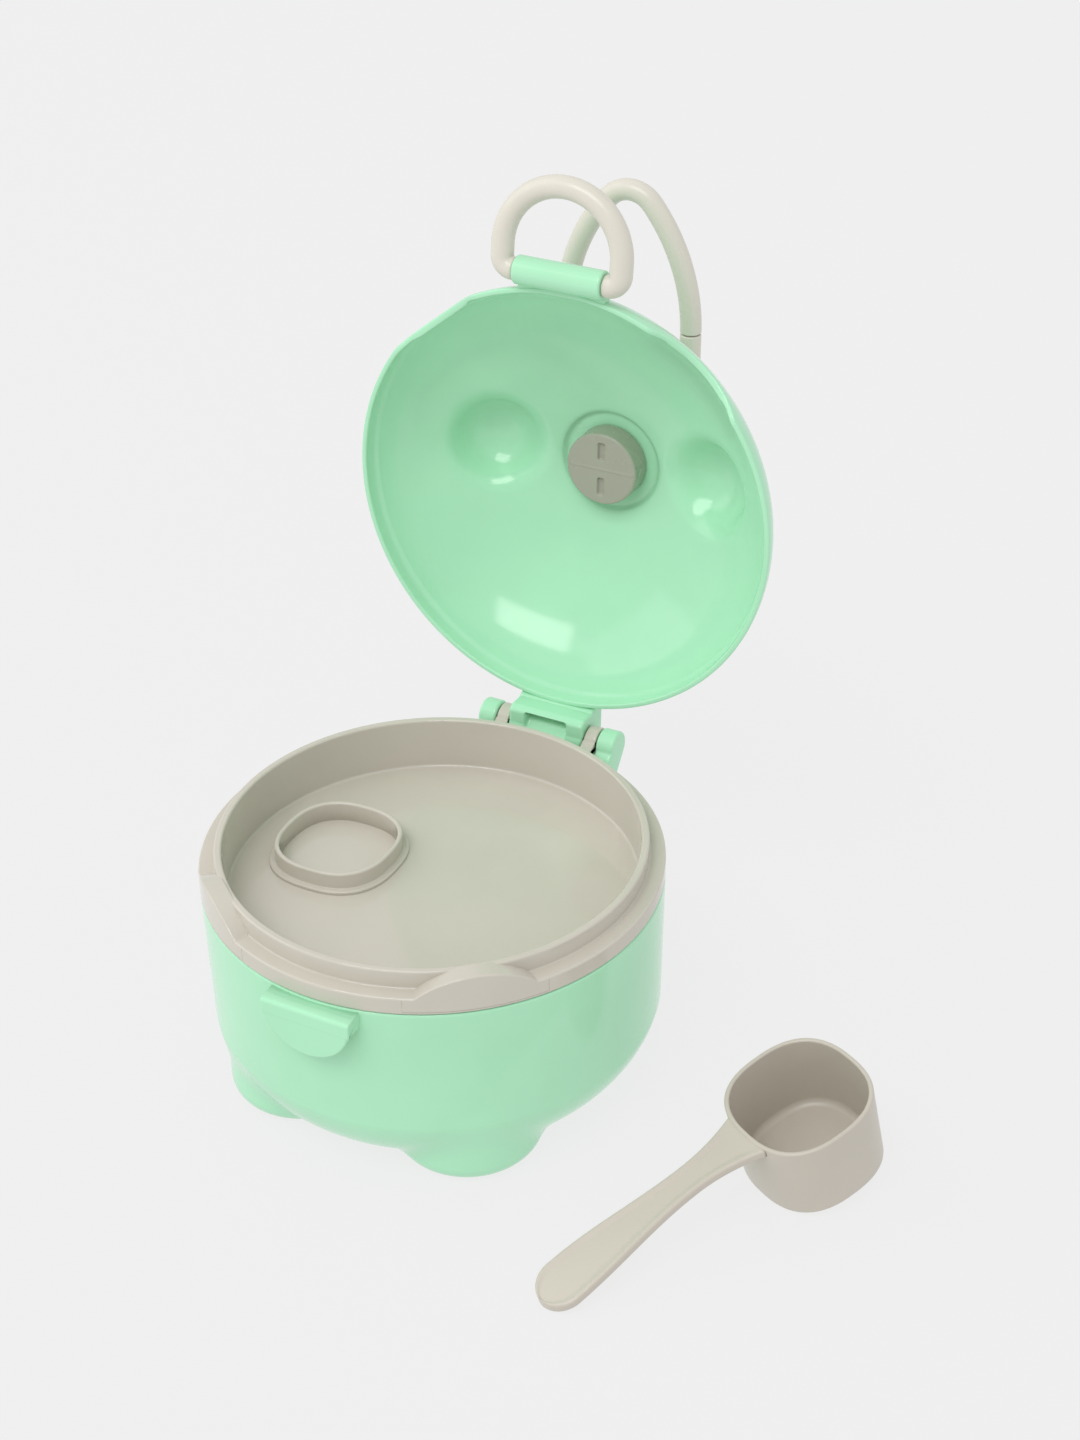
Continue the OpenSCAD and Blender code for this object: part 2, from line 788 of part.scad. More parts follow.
module scoop() {
    color("#c9c3b4")
        translate([bowl_r + scoop_away, -scoop_front, scoop_lift - foot_drop])
            rotate([0, 0, scoop_heading])
                rotate([0, cup_tilt, 0])
                    difference() {
                        union() {
                            linear_extrude(cup_h, scale = cup_half / cup_foot_half)
                                polygon(squircle(cup_foot_half));
                            scoop_handle();
                        }
                        translate([0, 0, 1.4])
                            linear_extrude(
                                cup_h,
                                scale = (cup_half - cup_wall) / (cup_foot_half - cup_wall)
                            )
                                polygon(squircle(cup_foot_half - cup_wall));
                    }
}

bowl();
inner_lid();
inner_lid_seal();
outer_lid();
hinge_pin();
latch_ring();
carry_hook();
hook_gate();
gate_pin();
swivel_plug();
scoop();
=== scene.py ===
import json
import math

import bmesh
import bpy
import numpy as np
from mathutils import Matrix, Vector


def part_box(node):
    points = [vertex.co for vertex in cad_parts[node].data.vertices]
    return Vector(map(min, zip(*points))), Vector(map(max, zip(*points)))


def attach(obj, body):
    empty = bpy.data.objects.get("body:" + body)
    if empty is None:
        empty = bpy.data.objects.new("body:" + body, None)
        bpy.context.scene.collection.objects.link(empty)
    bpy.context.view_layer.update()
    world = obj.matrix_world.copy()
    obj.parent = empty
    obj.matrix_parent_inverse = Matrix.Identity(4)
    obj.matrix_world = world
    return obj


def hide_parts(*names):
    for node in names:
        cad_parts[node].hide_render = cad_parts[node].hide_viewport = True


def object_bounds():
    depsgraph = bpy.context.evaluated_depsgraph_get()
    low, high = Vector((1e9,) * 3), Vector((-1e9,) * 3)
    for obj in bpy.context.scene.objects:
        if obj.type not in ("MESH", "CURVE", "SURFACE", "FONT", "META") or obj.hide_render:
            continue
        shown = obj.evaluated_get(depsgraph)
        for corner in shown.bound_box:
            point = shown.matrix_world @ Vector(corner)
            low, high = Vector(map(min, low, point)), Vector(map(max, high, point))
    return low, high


bl_info = {
    "name": "Formula dispenser",
    "version": (1, 0, 0),
    "blender": (4, 5, 0),
    "location": "3D View > Sidebar > Dispenser",
    "description": "Builds the moulded shells, bars and scoop of a milk-powder dispenser on its CAD frame",
    "category": "Object",
}

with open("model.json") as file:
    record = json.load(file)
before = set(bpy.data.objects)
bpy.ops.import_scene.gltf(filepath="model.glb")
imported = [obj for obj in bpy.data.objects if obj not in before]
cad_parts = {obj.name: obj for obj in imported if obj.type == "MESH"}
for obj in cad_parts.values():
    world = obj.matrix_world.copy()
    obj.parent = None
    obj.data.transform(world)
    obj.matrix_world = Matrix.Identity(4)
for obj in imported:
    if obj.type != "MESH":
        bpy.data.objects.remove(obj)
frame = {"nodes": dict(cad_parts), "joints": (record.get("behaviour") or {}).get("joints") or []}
CAD_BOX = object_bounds()
NODES = frame["nodes"]
JOINTS = {joint["name"]: joint for joint in frame["joints"]}
MM = 0.001
TAU = 2 * math.pi
LIGHT_TARGET = (0, 0.03, 0.06)


def box_middle(node):
    """Middle of a CAD node's box."""
    low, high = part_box(node)
    return (low + high) / 2


PIN = box_middle("hinge_pin")
FLOOR_Z = CAD_BOX[0][2]
SWIVEL_AXIS = JOINTS["hook_swivel"]["axis"]
LID_OPEN = math.atan2(SWIVEL_AXIS[1], SWIVEL_AXIS[2])


# ---- Sizes and colours


def size(name, description, mm):
    """A length that the user can change, given in millimetres."""
    return bpy.props.FloatProperty(
        name=name, description=description, default=mm * MM, precision=5, unit="LENGTH"
    )


def turn(name, description, degrees):
    """An angle that the user can change, given in degrees."""
    return bpy.props.FloatProperty(
        name=name, description=description, default=math.radians(degrees), unit="ROTATION"
    )


def ratio(name, description, value):
    """A plain number that the user can change."""
    return bpy.props.FloatProperty(name=name, description=description, default=value)


def linear(hex_colour):
    """An sRGB hex colour as linear light."""
    part = np.array([int(hex_colour[i:i + 2], 16) for i in (1, 3, 5)]) / 255
    return tuple(np.where(part <= 0.04045, part / 12.92, ((part + 0.055) / 1.055) ** 2.4))


def colour(name, description, hex_colour):
    """A colour that the user can change, given as sRGB hex."""
    return bpy.props.FloatVectorProperty(
        name=name, description=description, default=linear(hex_colour),
        subtype="COLOR", size=3, min=0, max=1,
    )


class BowlSizes(bpy.types.PropertyGroup):
    """Sizes of the footed bowl."""

    radius: size("Radius", "Outer radius at the rim", 60)
    height: size("Height", "Height from the underside to the rim", 54)
    wall: size("Wall", "Wall thickness", 2.2)
    lean: size("Lean", "How far the side wall leans in above the corner", 0.8)
    corner_w: size("Corner width", "Width of the rounded bottom corner", 13)
    corner_h: size("Corner height", "Height of the rounded bottom corner", 17)
    corner_power: ratio("Corner exponent", "Roundness exponent of the bottom corner", 1.5)
    rim_edge: size("Rim edge", "Radius on the rim's edges", 0.7)
    foot_r: size("Foot radius", "Radius of each foot", 19.5)
    foot_drop: size("Foot drop", "Distance that the feet stand below the underside", 4)
    foot_edge: size("Foot edge", "Radius of the rounded edge under each foot", 5)
    foot_inset: size("Foot inset", "Gap between a foot's side and the bowl's radius", 2.2)
    foot_angle: turn("Foot angle", "Angle of each foot away from the front or back", 40)
    foot_blend: size("Foot blend", "Softness of the crease round each foot", 3)
    tab_r: size("Tab radius", "Radius of the latch tab's half-disc", 12.3)
    tab_block_h: size("Tab block height", "Height of the block that carries the half-disc", 4.5)
    tab_reach: size("Tab reach", "Distance that the half-disc stands out", 4.2)
    tab_plate: size("Tab plate", "Thickness of the half-disc", 2)
    tab_edge: size("Tab edge", "Radius on the tab's edges", 0.45)


class HingeSizes(bpy.types.PropertyGroup):
    """Sizes of the hinge's knuckles."""

    knuckle_r: size("Knuckle radius", "Outer radius of the knuckles", 4.5)
    lid_w: size("Lid knuckle width", "Width of the dome lid's middle knuckle", 22.6)
    ear_w: size("Ear width", "Width of each tray lid ear", 3.6)
    bowl_w: size("Bowl knuckle width", "Width of each bowl knuckle", 5.2)
    gap: size("Knuckle gap", "Gap between neighbouring knuckles", 0.35)
    edge: size("Knuckle edge", "Radius on the knuckles' edges", 0.8)
    pocket_w: size("Pocket width", "Width of the pocket in the hinge block", 12.4)
    pocket_wall: size("Pocket wall", "Thickness of the wall in front of the pocket", 1.2)
    pocket_edge: size("Pocket corner", "Radius of the pocket's corners", 0.5)
    pocket_deep: size("Deep end", "Depth of the pocket at its front wall", 5)
    pocket_shallow: size("Shallow end", "Depth of the pocket next to the pin", 0.2)
    block_h: size("Block height", "Height of the hinge block above the dome's rim", 6)


class TrayLidSizes(bpy.types.PropertyGroup):
    """Sizes of the tray lid."""

    gap: size("Gap", "Clearance between parts that sit together", 0.3)
    flange_h: size("Flange height", "Height of the outer flange", 4.7)
    flange_edge: size("Flange edge", "Radius on the flange's top edge", 0.6)
    collar_inset: size("Collar inset", "Inset of the collar from the bowl's radius", 4.2)
    collar_h: size("Collar height", "Height of the collar above the flange", 5)
    collar_wall: size("Collar wall", "Thickness of the collar", 2)
    tray_depth: size("Tray depth", "Depth of the tray floor below the bowl's rim", 5)
    tray_floor: size("Tray floor", "Thickness of the tray floor", 1.8)
    floor_blend: size("Floor blend", "Radius between the tray's wall and floor", 0.7)
    lobe_angle: turn("Lobe angle", "Angle of each lobe away from the front", 39.5)
    lobe_chord: size("Lobe length", "Length of each lobe where it meets the flange", 28)
    lobe_rise: size("Lobe rise", "Height of each lobe above the collar", 0.7)
    lobe_edge: size("Lobe edge", "Radius on the lobes' top edges", 0.45)
    lobe_blend: size("Lobe blend", "Softness where a lobe runs out into the flange", 0.3)
    ring_offset: size("Ring offset", "Distance of the levelling ring from the middle", 28.5)
    ring_h: size("Ring height", "Height of the levelling ring", 5.5)
    ring_wall: size("Ring wall", "Thickness of the ring's wall", 1.3)
    step_h: size("Step height", "Height of the low step round the ring's foot", 1)
    groove: size("Seal groove", "Depth of the groove that holds the seal", 0.7)
    seal_h: size("Seal height", "Height of the seal", 3)
    seal_drop: size("Seal drop", "Distance of the seal's top below the bowl's rim", 1.2)


class DomeSizes(bpy.types.PropertyGroup):
    """Sizes of the dome lid."""

    height: size("Height", "Height of the dome above its rim", 35)
    power: ratio("Exponent", "Roundness exponent of the dome", 1.85)
    wall: size("Wall", "Wall thickness", 1.9)
    overhang: size("Overhang", "Distance that the dome's rim stands out past the bowl", 0.3)
    rim_edge: size("Rim edge", "Depth of the rounding on the rim", 0.8)
    relief: size("Rim relief", "Depth of the step inside the rim", 0.45)
    relief_h: size("Relief height", "Height of the step inside the rim", 4)
    bump_r: size("Bump radius", "Inner radius of each round bump", 13)
    bump_x: size("Bump offset", "Distance of each bump from the middle", 30.5)
    bump_y: size("Bump shift", "Distance of each bump in front of the middle", 1.8)
    bump_sink: size("Bump sink", "Depth of a bump's centre below the inner surface", 5)
    bump_blend: size("Bump blend", "Softness of the crease round each bump", 4)
    recess_r: size("Recess radius", "Radius of the flat round the swivel", 14)
    seat_r: size("Seat radius", "Radius of the flat under the hook's disc", 13)
    barrel_r: size("Barrel radius", "Radius of the barrel that holds the latch ring", 3.8)
    barrel_w: size("Barrel length", "Length of the barrel", 24.8)
    notch_blend: size("Notch blend", "Softness where a notch runs out into the rim", 1.2)


class BarSizes(bpy.types.PropertyGroup):
    """Sizes of the latch ring, the carry hook, its gate and the swivel."""

    ring_bar_r: size("Ring bar", "Radius of the latch ring's bar", 3)
    ring_half: size("Ring half width", "Half the latch ring's width, to the bar's middle", 16.7)
    ring_bend: size("Ring bend", "Bend radius at the foot of each leg", 3.2)
    stub_r: size("Stub radius", "Radius of the pivot stubs", 1.5)
    stub_l: size("Stub length", "Length of the pivot stubs", 6)
    ring_tilt: turn("Ring tilt", "Tilt of the latch ring towards the dome", 6)
    hook_bar_r: size("Hook bar", "Radius of the hook's bar", 2.9)
    hook_half: size("Hook half width", "Half the hook's width, to the bar's middle", 18.6)
    hook_reach: size("Hook reach", "Distance of the tip from the swivel", 74.5)
    hook_wide_at: size("Widest place", "Distance of the widest place from the swivel", 38)
    hook_tip_r: size("Tip radius", "Bend radius of the hook's tip", 8.2)
    hook_base_at: size("Cross bar", "Distance of the cross bar in front of the swivel", 8)
    hook_corner_r: size("Corner radius", "Bend radius at the cross bar's corner", 9)
    hub_r: size("Disc radius", "Radius of the swivel's disc", 12)
    shaft_r: size("Shaft radius", "Radius of the swivel's shaft", 4)
    gate_eye_h: size("Gate eye", "Thickness of the gate's eye", 2.2)
    gate_eye_edge: size("Eye border", "Width of the eye's border round the bar", 1.2)
    gate_neck: size("Gate neck", "Distance from the eye's border to the gate's bar", 1.4)
    plug_r: size("Plug radius", "Radius of the plug inside the lid", 10.4)
    plug_h: size("Plug height", "Thickness of the plug", 7)
    slot_w: size("Slot width", "Width of the slots in the plug's face", 2)
    slot_l: size("Slot length", "Length of the slots in the plug's face", 5)
    slot_depth: size("Slot depth", "Depth of the slots in the plug's face", 0.9)


class ScoopSizes(bpy.types.PropertyGroup):
    """Sizes and place of the scoop."""

    half: size("Half width", "Half the width of the cup at its rim", 17.4)
    foot_half: size("Foot half width", "Half the width of the cup at its bottom", 16.7)
    power: ratio("Exponent", "Roundness exponent of the cup, 2 is a circle", 2.5)
    height: size("Height", "Height of the cup", 24.4)
    wall: size("Wall", "Wall thickness", 1.2)
    floor: size("Floor", "Floor thickness", 1.4)
    reach: size("Reach", "Distance from the cup's middle to the handle's end", 81)
    handle_t: size("Handle thickness", "Thickness of the handle", 2.6)
    root: size("Root", "Half the handle's width where it meets the cup", 7.2)
    waist: size("Waist", "Half the handle's width at its waist", 4.1)
    waist_at: size("Waist place", "Distance from the cup's middle to the waist", 35)
    end: size("End", "Half the handle's width near its end", 6.9)
    droop: size("Droop", "Distance that the handle's end curves down", 5)
    channel: size("Channel", "Depth of the channel along the handle", 0.35)
    border: size("Border", "Width of the raised border round the channel", 1.1)
    handle_edge: size("Handle edge", "Radius on the handle's edges", 0.7)
    rim_drop: size("Rim drop", "Step from the cup's rim down to the handle", 0.3)
    away: size("Away", "Distance of the cup from the bowl's outer radius", 49)
    front: size("Front", "Distance of the cup in front of the bowl's middle", 2.6)
    heading: turn("Heading", "Direction that the handle points, from +X", -119)


class Finishes(bpy.types.PropertyGroup):
    """Colours of the mouldings and the stage."""

    mint: colour("Mint", "Mint green shells", "#ace6c0")
    warm_grey: colour("Warm grey", "Tray lid", "#c9c4b8")
    bar_grey: colour("Bar grey", "Latch ring, hook and gate", "#d7d3c7")
    # Darker than the bar grey: painted shade for the dim inside of the dome lid, where the plug sits
    plug_grey_painted_shade: colour("Plug grey", "Swivel plug", "#a3a495")
    scoop_grey: colour("Scoop grey", "Scoop", "#c5beb2")
    silicone: colour("Silicone", "Seal", "#e3e5e0")
    floor: colour("Floor", "Table top", "#494949")


class StageSettings(bpy.types.PropertyGroup):
    """Camera and light."""

    azimuth: turn("Azimuth", "Direction of the camera round the object", 27.685)
    elevation: turn("Elevation", "Height of the camera above the horizon", 33.131)
    roll: turn("Roll", "Turn of the camera about its own axis", -0.989)
    distance: size("Distance", "Distance of the camera from its target", 680.2)
    target_x: size("Target X", "Point that the camera looks at, sideways", 7.44)
    target_y: size("Target Y", "Point that the camera looks at, front to back", 46.56)
    target_z: size("Target Z", "Height of the point that the camera looks at", 74)
    lens: ratio("Lens", "Focal length in mm on a 36 mm high frame", 63.81)
    floor_size: size("Floor size", "Side of the square floor", 60000)
    sky: ratio("Sky", "Strength of the even light from all round", 0.75)
    key: ratio("Key", "Power of the key light in watts", 20)
    fill: ratio("Fill", "Power of the fill light in watts", 12)


# ---- Curves


def ring_of(count):
    """Equal angles once round, without the repeated end."""
    return np.arange(count) * TAU / count


def rounded(corners, closed=False, steps=6):
    """A polyline whose corners are turned into arcs.

    Each corner is (x, y, radius). The arc's ends lie radius * tan(half the turn) before and
    after the corner, and its points are equal steps of angle about the arc's centre."""
    corners = np.array(corners, float)
    count = len(corners)
    pieces = []
    for i, (x, y, radius) in enumerate(corners):
        here = np.array([x, y])
        if radius <= 0 or (not closed and i in (0, count - 1)):
            pieces.append(here[None])
            continue
        before = here - corners[i - 1, :2]
        after = corners[(i + 1) % count, :2] - here
        before /= np.linalg.norm(before)
        after /= np.linalg.norm(after)
        turned = math.atan2(
            before[0] * after[1] - before[1] * after[0], before @ after
        )
        reach = radius * math.tan(abs(turned) / 2)
        side = math.copysign(1, turned) * np.array([-before[1], before[0]])
        centre = here - before * reach + side * radius
        angle = np.linspace(0, turned, steps + 1)[:, None]
        spoke = -side * radius
        quarter = np.array([-spoke[1], spoke[0]])
        pieces.append(centre + spoke * np.cos(angle) + quarter * np.sin(angle))
    return np.concatenate(pieces)


def arc_points(centre, radius, start, end, count):
    """Points at equal angles along an arc, start and end in radians."""
    angle = np.linspace(start, end, count)
    return np.array(centre) + radius * np.stack([np.cos(angle), np.sin(angle)], -1)


def along(points, spacing):
    """The same polyline with points no further apart than spacing, equal within each stretch."""
    stretches = [
        a + (b - a) * np.linspace(0, 1, max(1, math.ceil(np.linalg.norm(b - a) / spacing)),
                                  endpoint=False)[:, None]
        for a, b in zip(points[:-1], points[1:])
    ]
    return np.concatenate(stretches + [points[-1:]])


def squircle(power, count):
    """Unit outline of a rounded square: (cos a, sin a) / (|cos a|^n + |sin a|^n)^(1/n)."""
    angle = ring_of(count)
    spoke = np.stack([np.cos(angle), np.sin(angle)], -1)
    return spoke / (np.abs(spoke) ** power).sum(-1, keepdims=True) ** (1 / power)


def keyhole(middle, radius, arm_from, low, high, count=28):
    """Outline of a round knuckle with a straight arm, (along, up), for a rounded plate."""
    turn_low = math.asin((low - middle[1]) / radius)
    turn_high = math.asin((high - middle[1]) / radius)
    nose = arc_points(middle, radius, math.pi - turn_high, turn_low - math.pi, count)
    return np.concatenate([nose, [[arm_from, low], [arm_from, high]]])


# ---- Distances and blends


def soft_min(a, b, width):
    """The smaller of two distances, with a rounded change-over as wide as width."""
    mix = np.clip(0.5 + 0.5 * (b - a) / width, 0, 1)
    return b + (a - b) * mix - width * mix * (1 - mix)


def soft_max(a, b, width):
    """The larger of two heights, with a rounded change-over as wide as width."""
    return -soft_min(-a, -b, width)


def puck_distance(spot, middle, radius, half_height, edge):
    """Distance to a disc with rounded edges whose axis is upright."""
    offset = spot - middle
    out = np.hypot(offset[..., 0], offset[..., 1]) - (radius - edge)
    up = np.abs(offset[..., 2]) - (half_height - edge)
    return np.hypot(np.maximum(out, 0), np.maximum(up, 0)) + np.minimum(np.maximum(out, up), 0) - edge


def pushed_out(surface, origin, distances, width, farthest):
    """Moves each point of a surface away from origin to where the soft union with more shapes ends.

    Along the ray through a point, the soft union's distance is soft_min(t - R, d1, d2, ...). Its
    sign changes between R and R + farthest, and halving that stretch finds where."""
    ray = surface - origin
    reach = np.linalg.norm(ray, axis=-1)
    ray = ray / reach[..., None]
    near = reach.copy()
    far = reach + farthest
    for _ in range(26):
        middle = (near + far) / 2
        spot = origin + middle[..., None] * ray
        value = middle - reach
        for distance, blend in zip(distances, width):
            value = soft_min(value, distance(spot), blend)
        near = np.where(value < 0, middle, near)
        far = np.where(value < 0, far, middle)
    return origin + near[..., None] * ray


# ---- Grids of points


def revolve(profile, count):
    """Turns a profile of (radius, height) about the Z axis: rows follow the profile."""
    angle = ring_of(count)
    profile = np.array(profile)
    x = profile[:, None, 0] * np.cos(angle)
    y = profile[:, None, 0] * np.sin(angle)
    z = np.broadcast_to(profile[:, None, 1], x.shape)
    return np.stack([x, y, z], -1)


def plate(outline, low, high, edge, steps=5):
    """A flat plate with rounded edges: the outline shrinks by edge * (1 - sin a) as the height
    runs through edge * (1 - cos a), and each end closes on its middle."""
    outline = np.array(outline, float)
    ahead = np.roll(outline, -1, 0) - outline
    behind = outline - np.roll(outline, 1, 0)
    ahead /= np.linalg.norm(ahead, axis=1, keepdims=True)
    behind /= np.linalg.norm(behind, axis=1, keepdims=True)
    left = ahead + behind
    left = np.stack([-left[:, 1], left[:, 0]], -1)
    left /= np.linalg.norm(left, axis=1, keepdims=True)
    following = np.roll(outline, -1, 0)
    wedge = outline[:, 0] * following[:, 1] - outline[:, 1] * following[:, 0]
    inward = left * math.copysign(1, wedge.sum())
    angle = np.linspace(0, math.pi / 2, steps + 1)
    inset = edge * (1 - np.sin(angle))
    rise = edge * (1 - np.cos(angle))
    insets = np.concatenate([inset, inset[::-1]])
    heights = np.concatenate([low + rise, high - rise[::-1]])
    rows = outline[None] + inward[None] * insets[:, None, None]
    flat = np.concatenate([rows, np.broadcast_to(heights[:, None, None], rows.shape[:2] + (1,))], -1)
    share = wedge / wedge.sum()
    centre = (share[:, None] * (outline + np.roll(outline, -1, 0))).sum(0) / 3
    bottom = np.broadcast_to([*centre, low], flat[0].shape)
    top = np.broadcast_to([*centre, high], flat[0].shape)
    return np.concatenate([[bottom], flat, [top]])


def placed(points, rotation=None, offset=(0, 0, 0)):
    """Points turned by a 3 by 3 matrix and then moved."""
    if rotation is not None:
        points = points @ np.array(rotation).T
    return points + np.array(offset)


def about_hinge(points, angle=LID_OPEN):
    """Turns points of the closed dome lid about the hinge pin to where the lid stands open."""
    pin = np.array([0, PIN.y, PIN.z])
    return placed(points - pin, Matrix.Rotation(-angle, 3, "X"), pin)


def swap_axes(points, order):
    """Reads each point's coordinates in another order, such as (2, 0, 1)."""
    return points[..., order]


# ---- Meshes and objects


def lattice_faces(rows, columns, closed_rows):
    """Four corners of each cell of a grid whose columns close on themselves."""
    last = rows if closed_rows else rows - 1
    row = np.arange(last)[:, None]
    column = np.arange(columns)[None]
    below = (row + 1) % rows * columns
    beside = (column + 1) % columns
    cells = [row * columns + column, row * columns + beside, below + beside, below + column]
    return np.stack(np.broadcast_arrays(*cells), -1).reshape(-1, 4)


def make_piece(name, grids, material, body, node):
    """Joins grids of points into one object that rides on a body and stands for a CAD node.

    A grid's columns close on themselves. Its rows close too if it is given as (grid, True)."""
    points, faces, base = [], [], 0
    for grid in grids:
        grid, closed_rows = grid if isinstance(grid, tuple) else (grid, False)
        rows, columns = grid.shape[:2]
        points.append(grid.reshape(-1, 3))
        faces.append(lattice_faces(rows, columns, closed_rows) + base)
        base += rows * columns
    points = np.concatenate(points)
    faces = np.concatenate(faces)
    mesh = bpy.data.meshes.new(name)
    mesh.vertices.add(len(points))
    mesh.vertices.foreach_set("co", points.astype(np.float32).ravel())
    mesh.loops.add(faces.size)
    mesh.loops.foreach_set("vertex_index", faces.astype(np.int32).ravel())
    mesh.polygons.add(len(faces))
    mesh.polygons.foreach_set("loop_start", np.arange(0, faces.size, 4, dtype=np.int32))
    mesh.update(calc_edges=True)
    shell = bmesh.new()
    shell.from_mesh(mesh)
    bmesh.ops.remove_doubles(shell, verts=shell.verts, dist=1e-6)
    bmesh.ops.recalc_face_normals(shell, faces=shell.faces)
    shell.to_mesh(mesh)
    shell.free()
    mesh.polygons.foreach_set("use_smooth", np.ones(len(mesh.polygons), bool))
    mesh.materials.append(material)
    piece = bpy.data.objects.new(name, mesh)
    bpy.context.scene.collection.objects.link(piece)
    weighted = piece.modifiers.new("Even shading", "WEIGHTED_NORMAL")
    weighted.mode = "FACE_AREA"
    weighted.weight = 50
    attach(piece, body)
    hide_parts(node)
    return piece


def finish_node(node, material):
    """Gives a CAD node that stays as it is a better material."""
    NODES[node].data.materials.clear()
    NODES[node].data.materials.append(material)


# ---- Materials


def add_node(tree, kind, links=(), **settings):
    """Adds a shader node, sets its properties or input values, and links (input, output) pairs."""
    node = tree.nodes.new(kind)
    for key, value in settings.items():
        if hasattr(node, key):
            setattr(node, key, value)
        else:
            node.inputs[key.replace("_", " ")].default_value = value
    for socket, source in links:
        tree.links.new(node.inputs[socket], source)
    return node


def moulded(name, base, roughness, ior=1.49, grain=0.02):
    """Injection-moulded plastic: an even colour with a faint flow mottle some 30 mm across, a gloss
    that changes slightly from place to place, and an orange-peel skin with a 1.2 mm wave."""
    material = bpy.data.materials.new(name)
    material.use_nodes = True
    tree = material.node_tree
    tree.nodes.clear()
    place = add_node(tree, "ShaderNodeTexCoord").outputs["Object"]
    flow = add_node(tree, "ShaderNodeTexNoise", [("Vector", place)], Scale=1 / (30 * MM), Detail=3.0)
    tint = add_node(tree, "ShaderNodeValToRGB", [("Fac", flow.outputs["Fac"])])
    base = np.array(base)
    tint.color_ramp.elements[0].position = 0.3
    tint.color_ramp.elements[0].color = (*(base * 0.965), 1)
    tint.color_ramp.elements[1].position = 0.7
    tint.color_ramp.elements[1].color = (*np.minimum(base * 1.02, 1), 1)
    wear = add_node(tree, "ShaderNodeTexNoise", [("Vector", place)], Scale=1 / (7 * MM), Detail=4.0)
    gloss = add_node(
        tree, "ShaderNodeMapRange", [("Value", wear.outputs["Fac"])],
        To_Min=roughness * 0.85, To_Max=roughness * 1.2,
    )
    peel = add_node(tree, "ShaderNodeTexNoise", [("Vector", place)], Scale=1 / (1.2 * MM), Detail=2.0)
    skin = add_node(
        tree, "ShaderNodeBump", [("Height", peel.outputs["Fac"])],
        Strength=grain, Distance=0.2 * MM,
    )
    plastic = add_node(
        tree, "ShaderNodeBsdfPrincipled",
        [
            ("Base Color", tint.outputs["Color"]),
            ("Roughness", gloss.outputs["Result"]),
            ("Normal", skin.outputs["Normal"]),
        ],
        IOR=ior,
    )
    add_node(tree, "ShaderNodeOutputMaterial", [("Surface", plastic.outputs["BSDF"])])
    return material


def drawn_steel(name):
    """Drawn stainless wire: bright metal with fine lines along the wire, 0.2 mm apart."""
    material = bpy.data.materials.new(name)
    material.use_nodes = True
    tree = material.node_tree
    tree.nodes.clear()
    place = add_node(tree, "ShaderNodeTexCoord").outputs["Object"]
    stretch = add_node(tree, "ShaderNodeMapping", [("Vector", place)])
    stretch.inputs["Scale"].default_value = (30, 1 / (0.2 * MM), 1 / (0.2 * MM))
    lines = add_node(tree, "ShaderNodeTexNoise", [("Vector", stretch.outputs["Vector"])], Scale=1.0)
    gloss = add_node(
        tree, "ShaderNodeMapRange", [("Value", lines.outputs["Fac"])], To_Min=0.2, To_Max=0.4
    )
    steel = add_node(
        tree, "ShaderNodeBsdfPrincipled", [("Roughness", gloss.outputs["Result"])], Metallic=1.0
    )
    steel.inputs["Base Color"].default_value = (*linear("#c9c9cb"), 1)
    add_node(tree, "ShaderNodeOutputMaterial", [("Surface", steel.outputs["BSDF"])])
    return material


def table_top(name, base):
    """Matt board that glows evenly, as a sheet lit from below does, so that shadows stay faint."""
    material = bpy.data.materials.new(name)
    material.use_nodes = True
    board = material.node_tree.nodes["Principled BSDF"]
    board.inputs["Base Color"].default_value = (*base, 1)
    board.inputs["Roughness"].default_value = 0.9
    board.inputs["Specular IOR Level"].default_value = 0.1
    board.inputs["Emission Color"].default_value = (1, 1, 1, 1)
    board.inputs["Emission Strength"].default_value = 0.787
    return material


def finish(kind):
    """The object's materials, made once each by name."""
    if kind in bpy.data.materials:
        return bpy.data.materials[kind]
    colours = bpy.context.scene.dispenser_finishes
    # Polypropylene straight from a polished mould is glossy, from a blasted one it is satin
    makers = {
        "mint_polypropylene": lambda n: moulded(n, colours.mint, 0.13),
        "grey_polypropylene": lambda n: moulded(n, colours.warm_grey, 0.08),
        "bar_polypropylene": lambda n: moulded(n, colours.bar_grey, 0.26),
        # The plug's darker grey is painted shade for the dim inside of the dome lid, not a different plastic
        "plug_painted_shade_polypropylene": lambda n: moulded(n, colours.plug_grey_painted_shade, 0.26),
        "scoop_polypropylene": lambda n: moulded(n, colours.scoop_grey, 0.3),
        # Silicone rubber is soft, milky and a little dull
        "clear_silicone": lambda n: moulded(n, colours.silicone, 0.45, ior=1.41),
        "drawn_steel": drawn_steel,
        "table_top": lambda n: table_top(n, colours.floor),
    }
    return makers[kind](kind)


# ---- Bowl


def flattened_corner(start, bottom, width, height, power, count=40):
    """Quarter of a superellipse from a flat floor up to a wall."""
    angle = np.linspace(0, math.pi / 2, count)
    out = start + width * np.sin(angle) ** (2 / power)
    up = bottom + height * (1 - np.cos(angle) ** (2 / power))
    return np.stack([out, up], -1)


def foot_place(bowl):
    """Distances of each foot's centre sideways and front to back from the middle."""
    spoke = bowl.radius - bowl.foot_inset - bowl.foot_r
    return spoke * math.sin(bowl.foot_angle), spoke * math.cos(bowl.foot_angle)


